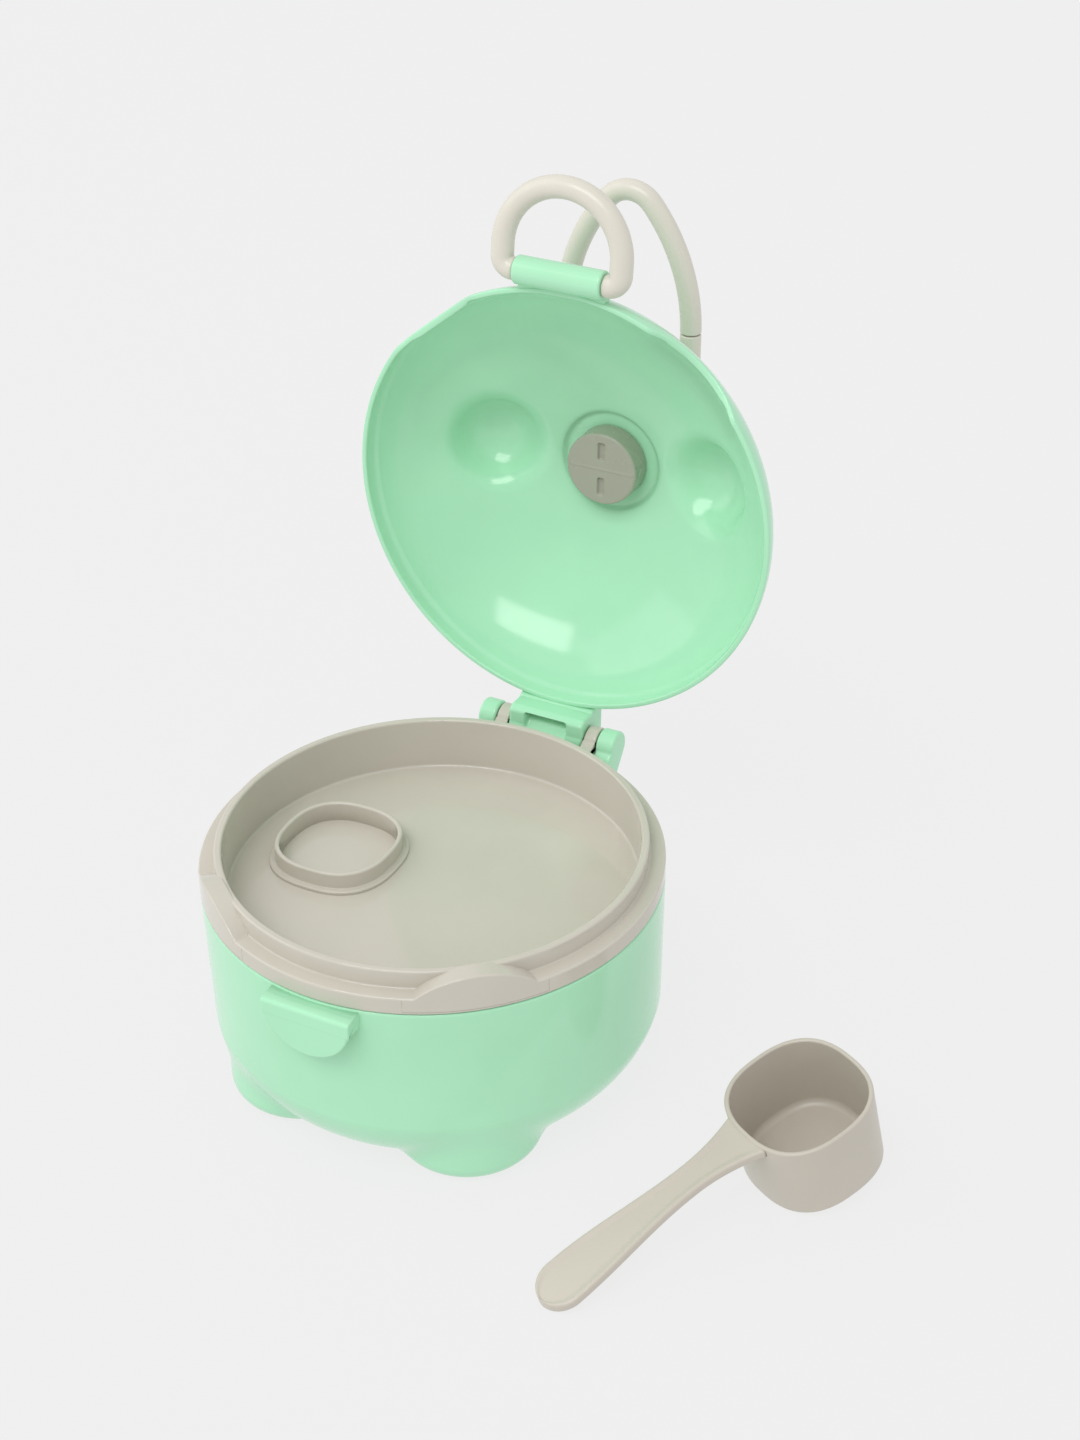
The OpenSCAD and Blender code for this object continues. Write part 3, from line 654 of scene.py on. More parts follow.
def bowl_shell(bowl):
    """Closed shell of the bowl: outer skin with its feet, rim, and inner skin."""
    start = bowl.radius - bowl.lean - bowl.corner_w
    corner = flattened_corner(start, 0, bowl.corner_w, bowl.corner_h, bowl.corner_power)
    floor = np.linspace([0, 0], corner[0], 56, endpoint=False)
    rim = rounded([
        (*corner[-1], 0), (bowl.radius, bowl.height, bowl.rim_edge),
        (bowl.radius - bowl.wall, bowl.height, bowl.rim_edge),
        (bowl.radius - bowl.wall, bowl.height / 2, 0),
    ])
    wall = along(rim[:2], 0.8 * MM)[1:]
    outer = revolve(np.concatenate([floor, corner, wall]), 360)
    beside, ahead = foot_place(bowl)
    top = bowl.corner_h + bowl.foot_edge

    def feet(spot):
        folded = np.concatenate([np.abs(spot[..., :2]), spot[..., 2:]], -1)
        middle = np.array([beside, ahead, (top - bowl.foot_drop) / 2])
        half = (top + bowl.foot_drop) / 2
        return puck_distance(folded, middle, bowl.foot_r, half, bowl.foot_edge)

    origin = np.array([0, 0, 0.75 * bowl.height])
    outer = pushed_out(outer, origin, [feet], [bowl.foot_blend], 16 * MM)
    hollow = flattened_corner(
        start, bowl.wall, bowl.corner_w - bowl.wall, bowl.corner_h - bowl.wall, bowl.corner_power, 20
    )
    inner = np.concatenate([rim[2:-1], hollow[::-1], [[0, bowl.wall]]])
    return np.concatenate([outer, revolve(inner, 360)])


def latch_tab(bowl):
    """Block under the rim and the half-disc in front of it."""
    top = bowl.height - 0.5 * MM
    middle = bowl.height - 2 * MM
    front = -bowl.radius - bowl.tab_reach
    half = bowl.tab_r
    edge = bowl.tab_edge
    proud = 0.1 * MM
    block = rounded(
        [
            (-bowl.radius + 2 * MM, top, 0), (front - proud, top - 0.3 * MM, 1 * MM),
            (front - proud, top - bowl.tab_block_h, 0.25 * MM),
            (-bowl.radius + 2 * MM, top - bowl.tab_block_h, 0),
        ],
        closed=True,
    )
    dip = math.asin((top - 2.4 * MM - middle) / half)
    disc = arc_points((0, middle), half, -math.pi - dip, dip, 48)
    block = swap_axes(plate(block, -half - proud, half + proud, edge), [2, 0, 1])
    disc = plate(disc, front, front + bowl.tab_plate, edge)
    return [block, swap_axes(disc, [0, 2, 1])]


def bowl_knuckles(bowl, hinge):
    """Two outer knuckles with brackets that run down the wall."""
    start = hinge.lid_w / 2 + 2 * hinge.gap + hinge.ear_w
    base = bowl.radius - 1.5 * MM
    nose = arc_points((PIN.y, PIN.z), hinge.knuckle_r, math.pi, -math.radians(35), 24)
    outline = np.concatenate([nose, [[base, bowl.height - 14 * MM], [base, bowl.height - 0.4 * MM]]])
    solid = plate(outline, start, start + hinge.bowl_w, hinge.edge)
    right = swap_axes(solid, [2, 0, 1])
    return [right, right * [-1, 1, 1]]


# ---- Tray lid


def heights(bowl, tray, dome):
    """Heights that the lids share: flange, flange top, collar top, dome rim and dome top."""
    flange = bowl.height + tray.gap
    flange_top = flange + tray.flange_h
    rim = flange_top + tray.gap
    return flange, flange_top, flange_top + tray.collar_h, rim, rim + dome.height


def tray_shell(bowl, tray, dome):
    """Tray lid turned from one profile: floor, groove for the seal, flange, collar and tray."""
    flange, flange_top, collar_top, _, _ = heights(bowl, tray, dome)
    floor = bowl.height - tray.tray_depth
    out = bowl.radius - tray.collar_inset
    inner = out - tray.collar_wall
    seal_top = bowl.height - tray.seal_drop
    under = floor - tray.tray_floor
    profile = rounded([
        (0, under, 0), (out, under, 0.6 * MM),
        (out, seal_top - tray.seal_h, 0), (out - tray.groove, seal_top - tray.seal_h, 0),
        (out - tray.groove, seal_top, 0), (out, seal_top, 0),
        (out, flange, 0.25 * MM), (bowl.radius, flange, 0.3 * MM),
        (bowl.radius, flange_top, tray.flange_edge), (out, flange_top, 0.5 * MM),
        (out, collar_top, 0.6 * MM), (inner, collar_top, 0.6 * MM),
        (inner, floor, tray.floor_blend), (0, floor, 0),
    ])
    return revolve(profile, 288)


def lobe_height(bowl, tray, flange_top, angle, grow=0.0):
    """Height of a lobe's arch at an angle from the front: a circle through the lobe's two ends."""
    tall = tray.collar_h + tray.lobe_rise
    arch_r = ((tray.lobe_chord / 2) ** 2 + tall**2) / (2 * tall)
    aside = (bowl.radius - tray.collar_inset) * np.sin(np.abs(angle) - tray.lobe_angle)
    inside = np.clip((arch_r + grow) ** 2 - aside**2, 0, None)
    return flange_top + tall - arch_r + np.sqrt(inside)


def lobes(bowl, tray, dome):
    """Two arched lobes on the flange: a rounded section whose height follows the arch."""
    _, flange_top, _, _, _ = heights(bowl, tray, dome)
    outside = bowl.radius + 0.02 * MM
    inside = bowl.radius - tray.collar_inset - 1 * MM
    base = flange_top - tray.flange_h + 0.6 * MM
    span = math.asin(tray.lobe_chord / 2 / bowl.radius) + math.radians(4)
    spread = np.linspace(-span, span, 90)
    near_ends = spread[[0, -1]] * 0.99
    angle = tray.lobe_angle + np.sort(np.concatenate([spread, near_ends]))
    tall = soft_max(lobe_height(bowl, tray, flange_top, angle),
                    flange_top - 0.1 * MM, tray.lobe_blend)
    section = rounded([
        (outside, 0, 0), (outside, 0.3 * MM, 0), (outside, 1 * MM, tray.lobe_edge),
        (inside, 1 * MM, 0.3 * MM), (inside, 0, 0),
    ])
    reach = section[None, :, 0]
    level = section[None, :, 1]
    up = np.where(level < 0.5 * MM, base + level, tall[:, None] + level - 1 * MM)
    grid = np.stack([reach * np.sin(angle[:, None]), -reach * np.cos(angle[:, None]),
                     np.broadcast_to(up, (len(angle), len(section)))], -1)
    first = np.broadcast_to(grid[0].mean(0), grid[0].shape)
    last = np.broadcast_to(grid[-1].mean(0), grid[0].shape)
    right = np.concatenate([[first], grid, [last]])
    return [right, right * [-1, 1, 1]]


def levelling_ring(bowl, tray, scoop):
    """Ring that strikes off a level scoop: a stepped section carried round a rounded square."""
    floor = bowl.height - tray.tray_depth
    half = scoop.half - scoop.wall - tray.gap
    under = floor - 0.8 * MM
    section = rounded(
        [
            (half - tray.ring_wall, under, 0), (half - tray.ring_wall, floor + tray.ring_h, 0.55 * MM),
            (half, floor + tray.ring_h, 0.55 * MM), (half, floor + tray.step_h, 0.3 * MM),
            (scoop.half, floor + tray.step_h, 0.45 * MM), (scoop.half, under, 0),
        ],
        closed=True,
    )
    unit = squircle(scoop.power, 160)
    flat = section[:, None, :1] * unit[None] - np.array([tray.ring_offset, 0])
    up = np.broadcast_to(section[:, None, 1:], flat.shape[:2] + (1,))
    return np.concatenate([flat, up], -1), True


def tray_ears(bowl, tray, hinge, dome):
    """Two narrow ears from the flange to the hinge pin."""
    flange, _, _, _, _ = heights(bowl, tray, dome)
    start = hinge.lid_w / 2 + hinge.gap
    outline = keyhole(
        (PIN.y, PIN.z), hinge.knuckle_r - 0.3 * MM, bowl.radius - 3 * MM,
        flange + 0.3 * MM, flange + tray.flange_h - 1.2 * MM,
    )
    right = swap_axes(plate(outline, start, start + hinge.ear_w, 0.5 * MM), [2, 0, 1])
    return [right, right * [-1, 1, 1]]


# ---- Dome lid


def dome_profile(radius, height, bottom, power, hole, count=400):
    """Superellipse from the swivel's hole down to the rim: (radius, height)."""
    angle = np.linspace(0, math.pi / 2, count)
    out = radius * np.cos(angle) ** (2 / power)
    up = bottom + height * np.sin(angle) ** (2 / power)
    keep = out > hole
    curve = np.stack([out[keep], up[keep]], -1)
    top = bottom + height * (1 - (hole / radius) ** power) ** (1 / power)
    curve = np.concatenate([curve, [[hole, top]]])
    return curve


def dome_skin(curve, start, rows, columns):
    """Rows of a dome from a start height that changes round the rim up to the swivel's hole.

    Each column's rows share out the curve's length above its own start height."""
    length = np.concatenate([[0], np.cumsum(np.linalg.norm(np.diff(curve, axis=0), axis=1))])
    low = np.interp(start, curve[:, 1], length)
    share = np.linspace(0, 1, rows) ** 1.1
    run = low[None] + (length[-1] - low[None]) * share[:, None]
    out = np.interp(run, length, curve[:, 0])
    up = np.interp(run, length, curve[:, 1])
    angle = ring_of(columns)[None]
    return np.stack([out * np.cos(angle), out * np.sin(angle), up], -1)


def dome_shell(bowl, tray, dome, bars):
    """Closed dome shell with its two round bumps, rim notches, rim step and swivel hole."""
    _, flange_top, _, rim, top = heights(bowl, tray, dome)
    columns = 336
    radius = bowl.radius + dome.overhang
    hole = bars.shaft_r + 0.05 * MM
    angle = (ring_of(columns) + math.pi / 2 + math.pi) % TAU - math.pi
    notch = lobe_height(bowl, tray, flange_top, angle, tray.gap)
    edge = soft_max(notch, np.full(columns, rim), dome.notch_blend) - dome.notch_blend / 8
    edge = np.maximum(edge, rim)
    outer = dome_skin(
        dome_profile(radius, dome.height, rim, dome.power, hole),
        edge + dome.rim_edge, 92, columns,
    )
    inner = dome_skin(
        dome_profile(radius - dome.wall, dome.height - dome.wall, rim, dome.power, hole),
        edge + dome.rim_edge, 100, columns,
    )
    bump_z = rim - dome.bump_sink + (dome.height - dome.wall) * (
        1 - (dome.bump_x / (radius - dome.wall)) ** dome.power
    ) ** (1 / dome.power)
    middle = np.array([dome.bump_x, -dome.bump_y, bump_z])

    def bumps(radius_here):
        return lambda spot: np.linalg.norm(
            np.concatenate([np.abs(spot[..., :1]), spot[..., 1:]], -1) - middle, axis=-1
        ) - radius_here

    def flat(radius_here, height_here, edge_here):
        spot_z = height_here - 3 * MM
        return lambda spot: puck_distance(
            spot, np.array([0, 0, spot_z]), radius_here, 3 * MM, edge_here
        )

    origin = np.array([0, 0, rim - 8 * MM])
    outer = pushed_out(
        outer, origin, [bumps(dome.bump_r + dome.wall), flat(dome.seat_r, top, 1 * MM)],
        [dome.bump_blend, 1 * MM], 16 * MM,
    )
    inner = pushed_out(
        inner, origin,
        [bumps(dome.bump_r), flat(dome.recess_r, top - dome.wall, 0.4 * MM)],
        [dome.bump_blend, 1.6 * MM], 16 * MM,
    )
    above = inner[..., 2] - rim
    step = dome.relief / (1 + np.exp((above - dome.relief_h) / (0.12 * MM)))
    outward = inner[..., :2] / np.linalg.norm(inner[..., :2], axis=-1, keepdims=True)
    inner[..., :2] += outward * step[..., None]
    turned = np.linspace(0, math.pi, 11)[1:-1, None, None]
    across = np.sign(np.cos(turned)) * np.abs(np.cos(turned)) ** 0.6
    down = np.abs(np.sin(turned)) ** 0.6
    lip = (inner[0] + outer[0]) / 2 + (inner[0] - outer[0]) / 2 * across
    lip = lip - np.array([0, 0, dome.rim_edge]) * down
    return np.concatenate([inner[::-1], lip, outer]), True


def latch_barrel(bowl, tray, dome, bars, pivot):
    """Barrel with blind holes for the latch ring's stubs, and the web to the dome's rim."""
    _, _, _, rim, _ = heights(bowl, tray, dome)
    half = dome.barrel_w / 2
    hole = bars.stub_r + 0.05 * MM
    deep = half - bars.stub_l - 1 * MM
    profile = rounded([
        (0, -deep, 0), (hole, -deep, 0), (hole, -half, 0.2 * MM), (dome.barrel_r, -half, 0.6 * MM),
        (dome.barrel_r, half, 0.6 * MM), (hole, half, 0.2 * MM), (hole, deep, 0), (0, deep, 0),
    ])
    barrel = swap_axes(revolve(profile, 64), [2, 0, 1]) + pivot
    outline = rounded(
        [
            (-half, pivot[1], 0.6 * MM), (half, pivot[1], 0.6 * MM),
            (half, -bowl.radius + 1.5 * MM, 1 * MM), (-half, -bowl.radius + 1.5 * MM, 1 * MM),
        ],
        closed=True,
    )
    web = plate(outline, rim + 0.25 * MM, rim + 3.6 * MM, 0.5 * MM)
    return [barrel, web]


def hinge_block(bowl, tray, dome, hinge):
    """Hinge block: one outline carried along the pin, with a pocket whose floor slopes.

    The outline follows the knuckle, the roof over it and the face that clears the flange as it
    turns. It draws in by edge * (1 - sin a) towards each end. Inside a rounded rectangle its
    lower face is raised by a depth that falls in a straight line towards the pin."""
    _, _, _, rim, _ = heights(bowl, tray, dome)
    half = hinge.lid_w / 2
    front = bowl.radius + 0.6 * MM
    back = hinge.knuckle_r - 0.6 * MM
    low = hinge.knuckle_r - 0.5 * MM
    swing = PIN.y - bowl.radius - tray.gap
    lean = math.acos((PIN.y - front) / swing)
    corner = PIN.y - math.sqrt(swing**2 - low**2)
    tail = math.acos(low / hinge.knuckle_r)
    nose = arc_points(
        (PIN.y, PIN.z), hinge.knuckle_r,
        -math.pi / 2 - tail, math.acos(back / hinge.knuckle_r), 24,
    )
    roof = rounded([
        (*nose[-1], 0), (PIN.y + back, rim + hinge.block_h, 1.2 * MM),
        (bowl.radius - 1.8 * MM, rim + hinge.block_h, 0), (bowl.radius, rim + 0.4 * MM, 0),
        (front, rim - 0.4 * MM, 0.6 * MM), (front, PIN.z - swing * math.sin(lean), 0.8 * MM),
        (corner, PIN.z - low, 1.2 * MM), (*nose[0], 0),
    ])
    face = along(roof[-2:], 0.06 * MM)
    outline = np.concatenate([roof[1:-2], face[:-1], nose])
    block = plate(outline, -half, half, hinge.edge)
    # Rows 6 and 7 hold the full outline at both ends of the straight stretch
    stations = np.linspace(block[6, 0, 2], block[7, 0, 2], 90)
    middle = np.broadcast_to(block[6], (len(stations),) + block[6].shape).copy()
    middle[..., 2] = stations[:, None]
    top = front + hinge.pocket_wall
    bottom = PIN.y - 0.5 * MM
    corner_r = hinge.pocket_edge
    reach = np.abs(middle[..., 0] - (top + bottom) / 2) - ((bottom - top) / 2 - corner_r)
    aside = np.abs(middle[..., 2]) - (hinge.pocket_w / 2 - corner_r)
    away = np.hypot(np.maximum(reach, 0), np.maximum(aside, 0)) - corner_r
    inside = np.clip(0.5 - away / corner_r, 0, 1)
    inside = inside * inside * (3 - 2 * inside)
    depth = np.interp(
        middle[..., 0], [top, bottom], [hinge.pocket_deep, hinge.pocket_shallow]
    )
    lower = middle[..., 1] < PIN.z - low + 0.1 * MM
    middle[..., 1] += np.where(lower, depth * inside, 0)
    return [swap_axes(np.concatenate([block[:6], middle, block[8:]]), [2, 0, 1])]


# ---- Latch ring, hook, gate and plug


def ring_bar(dome, bars, reach):
    """Latch ring in its own plane: stubs, feet, bends, legs and the round bow."""
    half, bend = bars.ring_half, bars.ring_bend
    bow_at = reach - half
    foot = dome.barrel_w / 2 + 0.3 * MM
    stub_end = dome.barrel_w / 2 - bars.stub_l
    left = np.concatenate([
        [[-stub_end, 0], [-foot + 0.2 * MM, 0], [-foot, 0], [-foot - 0.05 * MM, 0]],
        arc_points((bend - half, bend), bend, -math.pi / 2, -math.pi, 14),
        along(np.array([[-half, bend + 0.5 * MM], [-half, bow_at - 0.5 * MM]]), 2 * MM),
    ])
    bow = arc_points((0, bow_at), half, math.pi, 0, 56)
    path = np.concatenate([left, bow, left[::-1] * [-1, 1]])
    full = bars.ring_bar_r
    edge = [bars.stub_r, bars.stub_r, full - 0.6 * MM, full]
    radius = np.concatenate([edge, np.full(len(path) - 2 * len(edge), full), edge[::-1]])
    path = np.concatenate([path[:1], path, path[-1:]])
    radius = np.concatenate([[0], radius, [0]])
    return path, radius


def flat_tube(path, radius, count=32):
    """A round bar along a path in the XY plane, with its own radius at each point.

    The circle at a point is set square to the path, whose direction is taken from the points
    on both sides, so that ends where only the radius changes stay flat."""
    step = np.diff(path, axis=0)
    far = np.linalg.norm(step, axis=1) > 1e-9
    index = np.arange(len(step))
    before = np.maximum.accumulate(np.where(far, index, -1))
    after = np.minimum.accumulate(np.where(far, index, len(step))[::-1])[::-1]
    into = step[np.where(before < 0, after, before)]
    out = step[np.where(after >= len(step), before, after)]
    into = np.concatenate([into[:1], into])
    out = np.concatenate([out, out[-1:]])
    into = into / np.linalg.norm(into, axis=1, keepdims=True)
    out = out / np.linalg.norm(out, axis=1, keepdims=True)
    heading = into + out
    heading /= np.linalg.norm(heading, axis=1, keepdims=True)
    side = np.stack([heading[:, 1], -heading[:, 0], np.zeros(len(path))], -1)
    angle = ring_of(count)
    circle = np.cos(angle)[None, :, None] * side[:, None]
    circle = circle + np.sin(angle)[None, :, None] * np.array([0, 0, 1.0])
    middle = np.concatenate([path, np.zeros((len(path), 1))], -1)
    return middle[:, None] + np.asarray(radius)[:, None, None] * circle


def hook_path(bars):
    """Open loop of the hook's bar in its own plane, from the gate's eye round to the seam."""
    half, tip_r = bars.hook_half, bars.hook_tip_r
    rise = bars.hook_reach - tip_r - bars.hook_wide_at
    side_r = (half**2 + rise**2 - tip_r**2) / (2 * (half - tip_r))
    sweep = math.atan2(rise, side_r - half)
    corner = bars.hook_corner_r
    base = -bars.hook_base_at
    wide = -bars.hook_wide_at
    tip = wide - rise
    return np.concatenate([
        along(np.array([[half, base], [corner - half, base]]), 2 * MM)[:-1],
        arc_points((corner - half, base - corner), corner, math.pi / 2, math.pi, 24),
        along(np.array([[-half, base - corner - 0.5 * MM], [-half, wide + 0.5 * MM]]), 2 * MM),
        arc_points((side_r - half, wide), side_r, math.pi, math.pi + sweep, 30)[:-1],
        arc_points((0, tip), tip_r, math.pi + sweep, TAU - sweep, 32),
        arc_points((half - side_r, wide), side_r, -sweep, 0, 30)[1:],
    ])


def rounded_ends(path, radius, edge, steps=5):
    """Path and radii of a flat bar whose two ends are rounded by edge and closed."""
    angle = np.linspace(0, math.pi / 2, steps + 1)
    into = (edge * (1 - np.cos(angle)))[:, None]
    first = (path[1] - path[0]) / np.linalg.norm(path[1] - path[0])
    last = (path[-2] - path[-1]) / np.linalg.norm(path[-2] - path[-1])
    ends = radius - edge + edge * np.sin(angle)
    clear = np.minimum(
        np.linalg.norm(path - path[0], axis=1), np.linalg.norm(path - path[-1], axis=1)
    ) > edge * 1.2
    middle = path[clear]
    points = [path[:1], path[0] + first * into, middle, (path[-1] + last * into)[::-1], path[-1:]]
    radii = [[0], ends, np.full(len(middle), radius), ends[::-1], [0]]
    return np.concatenate(points), np.concatenate(radii)


def disc_and_shaft(bars, hub_low, hub_high, shaft_low):
    """Disc under the hook's cross bar and the shaft through the lid, turned from one profile."""
    return revolve(
        rounded([
            (0, shaft_low, 0), (bars.shaft_r, shaft_low, 0.3 * MM),
            (bars.shaft_r, hub_low, 0), (bars.hub_r, hub_low, 0.4 * MM),
            (bars.hub_r, hub_high, 1.2 * MM), (0, hub_high, 0),
        ]),
        96,
    )


def plug_body(bars, low, high):
    """Plug whose face looks down: a polar grid with two slots and a fine parting line.

    The slots' depth is slot_depth * (1 - smooth step of the distance to a rounded rectangle)."""
    face = np.linspace(0, bars.plug_r - 0.7 * MM, 48)
    side = rounded([
        (bars.plug_r - 0.7 * MM, low, 0), (bars.plug_r, low, 0.65 * MM),
        (bars.plug_r, high, 0.3 * MM), (0, high, 0),
    ])
    profile = np.concatenate([np.stack([face, np.full(len(face), low)], -1), side[1:]])
    grid = revolve(profile, 256)
    x, y = grid[:48, :, 0], np.abs(grid[:48, :, 1])
    aside = np.abs(x) - (bars.slot_w / 2 - 0.6 * MM)
    ahead = np.abs(y - bars.plug_r / 2) - (bars.slot_l / 2 - 0.6 * MM)
    away = np.hypot(np.maximum(aside, 0), np.maximum(ahead, 0)) - 0.6 * MM
    inside = np.clip(0.5 - away / (0.35 * MM), 0, 1)
    depth = bars.slot_depth * inside * inside * (3 - 2 * inside)
    line = 0.12 * MM * np.exp(-((grid[:48, :, 1] / (0.25 * MM)) ** 2))
    grid[:48, :, 2] += depth - line * (1 - inside)
    return grid


# ---- Scoop


def scoop_cup(scoop):
    """Cup: a profile carried round a rounded square, each point scaled by its own half width."""
    profile = rounded([
        (0, 0, 0), (scoop.foot_half, 0, 1.3 * MM), (scoop.half, scoop.height, 0.5 * MM),
        (scoop.half - scoop.wall, scoop.height, 0.5 * MM),
        (scoop.foot_half - scoop.wall, scoop.floor, 2 * MM), (0, scoop.floor, 0),
    ])
    unit = squircle(scoop.power, 192)
    flat = profile[:, None, :1] * unit[None]
    up = np.broadcast_to(profile[:, None, 1:], flat.shape[:2] + (1,))
    return np.concatenate([flat, up], -1)


def scoop_handle(scoop):
    """Handle: a rounded section with a channel, carried along a long arc.

    Its half width falls as a parabola from the root to the waist, rises as a cosine to the end,
    and closes as a half circle."""
    end_at = scoop.reach - scoop.end
    start = scoop.half - scoop.wall + 0.08 * MM
    straight = np.linspace(start, end_at, 70, endpoint=False)
    tip = end_at + scoop.end * np.sin(np.linspace(0, math.pi / 2, 30)) * 0.9995
    place = np.concatenate([straight, tip])
    before = (scoop.waist_at - place) / (scoop.waist_at - scoop.half)
    after = np.clip((place - scoop.waist_at) / (end_at - scoop.waist_at), 0, 1)
    half = np.where(
        place < scoop.waist_at,
        scoop.waist + (scoop.root - scoop.waist) * before**2,
        scoop.waist + (scoop.end - scoop.waist) * (1 - np.cos(math.pi * after)) / 2,
    )
    past = np.clip(place - end_at, 0, None)
    half = np.where(past > 0, np.sqrt(np.clip(scoop.end**2 - past**2, 0, None)), half)
    turned = np.linspace(0, math.pi / 2, 6)
    half = half[:, None]
    reach = place[:, None]
    inner = np.maximum(half - scoop.border, 0)
    fade = np.minimum(inner / (1.5 * MM), 1) * np.minimum((reach - scoop.half) / (4 * MM) + 0.1, 1)
    sink = scoop.channel * np.maximum(fade, 0)
    lip = np.minimum(scoop.handle_edge, half * 0.5)
    out = half - lip * (1 - np.sin(turned))
    down = -lip * (1 - np.cos(turned))
    floor_half = inner - 0.8 * MM * np.minimum(inner / (2 * MM), 1)
    floor = np.linspace(1, -1, 15) * floor_half
    low = -scoop.handle_t - down
    level = np.zeros_like(inner)
    bottom = np.broadcast_to(-sink, floor.shape)
    aside = [out[:, ::-1], inner, floor, -inner, -out, -out[:, ::-1], out]
    height = [down[:, ::-1], level, bottom, level, down, low[:, ::-1], low]
    aside = np.concatenate(aside, axis=1)
    height = np.concatenate(height, axis=1)
    bend_r = (scoop.reach - scoop.half) ** 2 / (2 * scoop.droop)
    up = scoop.height - bend_r + np.sqrt(
        (bend_r - scoop.rim_drop) ** 2 - (place - scoop.half) ** 2
    )
    grid = np.stack([np.broadcast_to(reach, aside.shape), aside, up[:, None] + height], -1)
    ends = [np.broadcast_to(grid[i].mean(0), grid[i].shape) for i in (0, -1)]
    return np.concatenate([[ends[0]], grid, [ends[1]]])


# ---- Operators


def settings():
    """The object's property groups."""
    scene = bpy.context.scene
    return (
        scene.dispenser_bowl, scene.dispenser_hinge, scene.dispenser_tray,
        scene.dispenser_dome, scene.dispenser_bars, scene.dispenser_scoop,
    )


class DISPENSER_OT_bowl(bpy.types.Operator):
    """Build the footed bowl with its latch tab and outer hinge knuckles"""

    bl_idname = "dispenser.bowl"
    bl_label = "Bowl"

    def execute(self, context):
        bowl, hinge, *_ = settings()
        grids = [bowl_shell(bowl)] + latch_tab(bowl) + bowl_knuckles(bowl, hinge)
        make_piece("bowl_moulding", grids, finish("mint_polypropylene"), "bowl", "bowl")
        return {"FINISHED"}


class DISPENSER_OT_tray_lid(bpy.types.Operator):
    """Build the tray lid with its levelling ring, lobes and hinge ears"""

    bl_idname = "dispenser.tray_lid"
    bl_label = "Tray lid"

    def execute(self, context):
        bowl, hinge, tray, dome, _, scoop = settings()
        grids = [tray_shell(bowl, tray, dome), levelling_ring(bowl, tray, scoop)]
        grids += lobes(bowl, tray, dome) + tray_ears(bowl, tray, hinge, dome)
        make_piece(
            "tray_lid_moulding", grids, finish("grey_polypropylene"),
            "inner_lid", "inner_lid",
        )
        return {"FINISHED"}


class DISPENSER_OT_dome_lid(bpy.types.Operator):
    """Build the dome lid with its bumps, barrel and hinge block"""

    bl_idname = "dispenser.dome_lid"
    bl_label = "Dome lid"

    def execute(self, context):
        bowl, hinge, tray, dome, bars, _ = settings()
        shell, closed = dome_shell(bowl, tray, dome, bars)
        rest = latch_barrel(bowl, tray, dome, bars, closed_pivot("latch_ring_pivot"))
        rest += hinge_block(bowl, tray, dome, hinge)
        grids = [(about_hinge(shell), closed)] + [about_hinge(grid) for grid in rest]
        make_piece(
            "dome_lid_moulding", grids, finish("mint_polypropylene"),
            "outer_lid", "outer_lid",
        )
        return {"FINISHED"}


def closed_pivot(joint):
    """Place of a joint with the dome lid turned back to closed."""
    return about_hinge(np.array(JOINTS[joint]["pos_m"]), -LID_OPEN)


class DISPENSER_OT_latch_ring(bpy.types.Operator):
    """Build the latch ring"""

    bl_idname = "dispenser.latch_ring"
    bl_label = "Latch ring"

    def execute(self, context):
        bowl, _, tray, dome, bars, _ = settings()
        pivot = closed_pivot("latch_ring_pivot")
        reach = pivot[2] - (bowl.height - 2 * MM - bowl.tab_r) + tray.gap + bars.ring_bar_r
        path, radius = ring_bar(dome, bars, reach)
        grid = flat_tube(path, radius)[..., [0, 2, 1]]
        grid = placed(grid, Matrix.Rotation(math.pi / 2 - bars.ring_tilt, 3, "X"), pivot)
        make_piece(
            "latch_ring_bar", [about_hinge(grid)], finish("bar_polypropylene"),
            "latch_ring", "latch_ring",
        )
        return {"FINISHED"}


class DISPENSER_OT_carry_hook(bpy.types.Operator):
    """Build the carry hook with its disc and shaft"""

    bl_idname = "dispenser.carry_hook"
    bl_label = "Carry hook"

    def execute(self, context):
        bowl, _, tray, dome, bars, _ = settings()
        _, _, _, _, top = heights(bowl, tray, dome)
        up = closed_pivot("hook_swivel")[2]
        path, radius = rounded_ends(hook_path(bars), bars.hook_bar_r, 0.5 * MM)
        bar = flat_tube(path, radius) + [0, 0, up]
        plug_low = top - dome.wall - 0.3 * MM - bars.plug_h
        hub = disc_and_shaft(bars, top + 0.3 * MM, up + 1.5 * MM, plug_low + 2 * MM)
        make_piece(
            "carry_hook_bar", [about_hinge(bar), about_hinge(hub)], finish("bar_polypropylene"),
            "carry_hook", "carry_hook",
        )
        return {"FINISHED"}


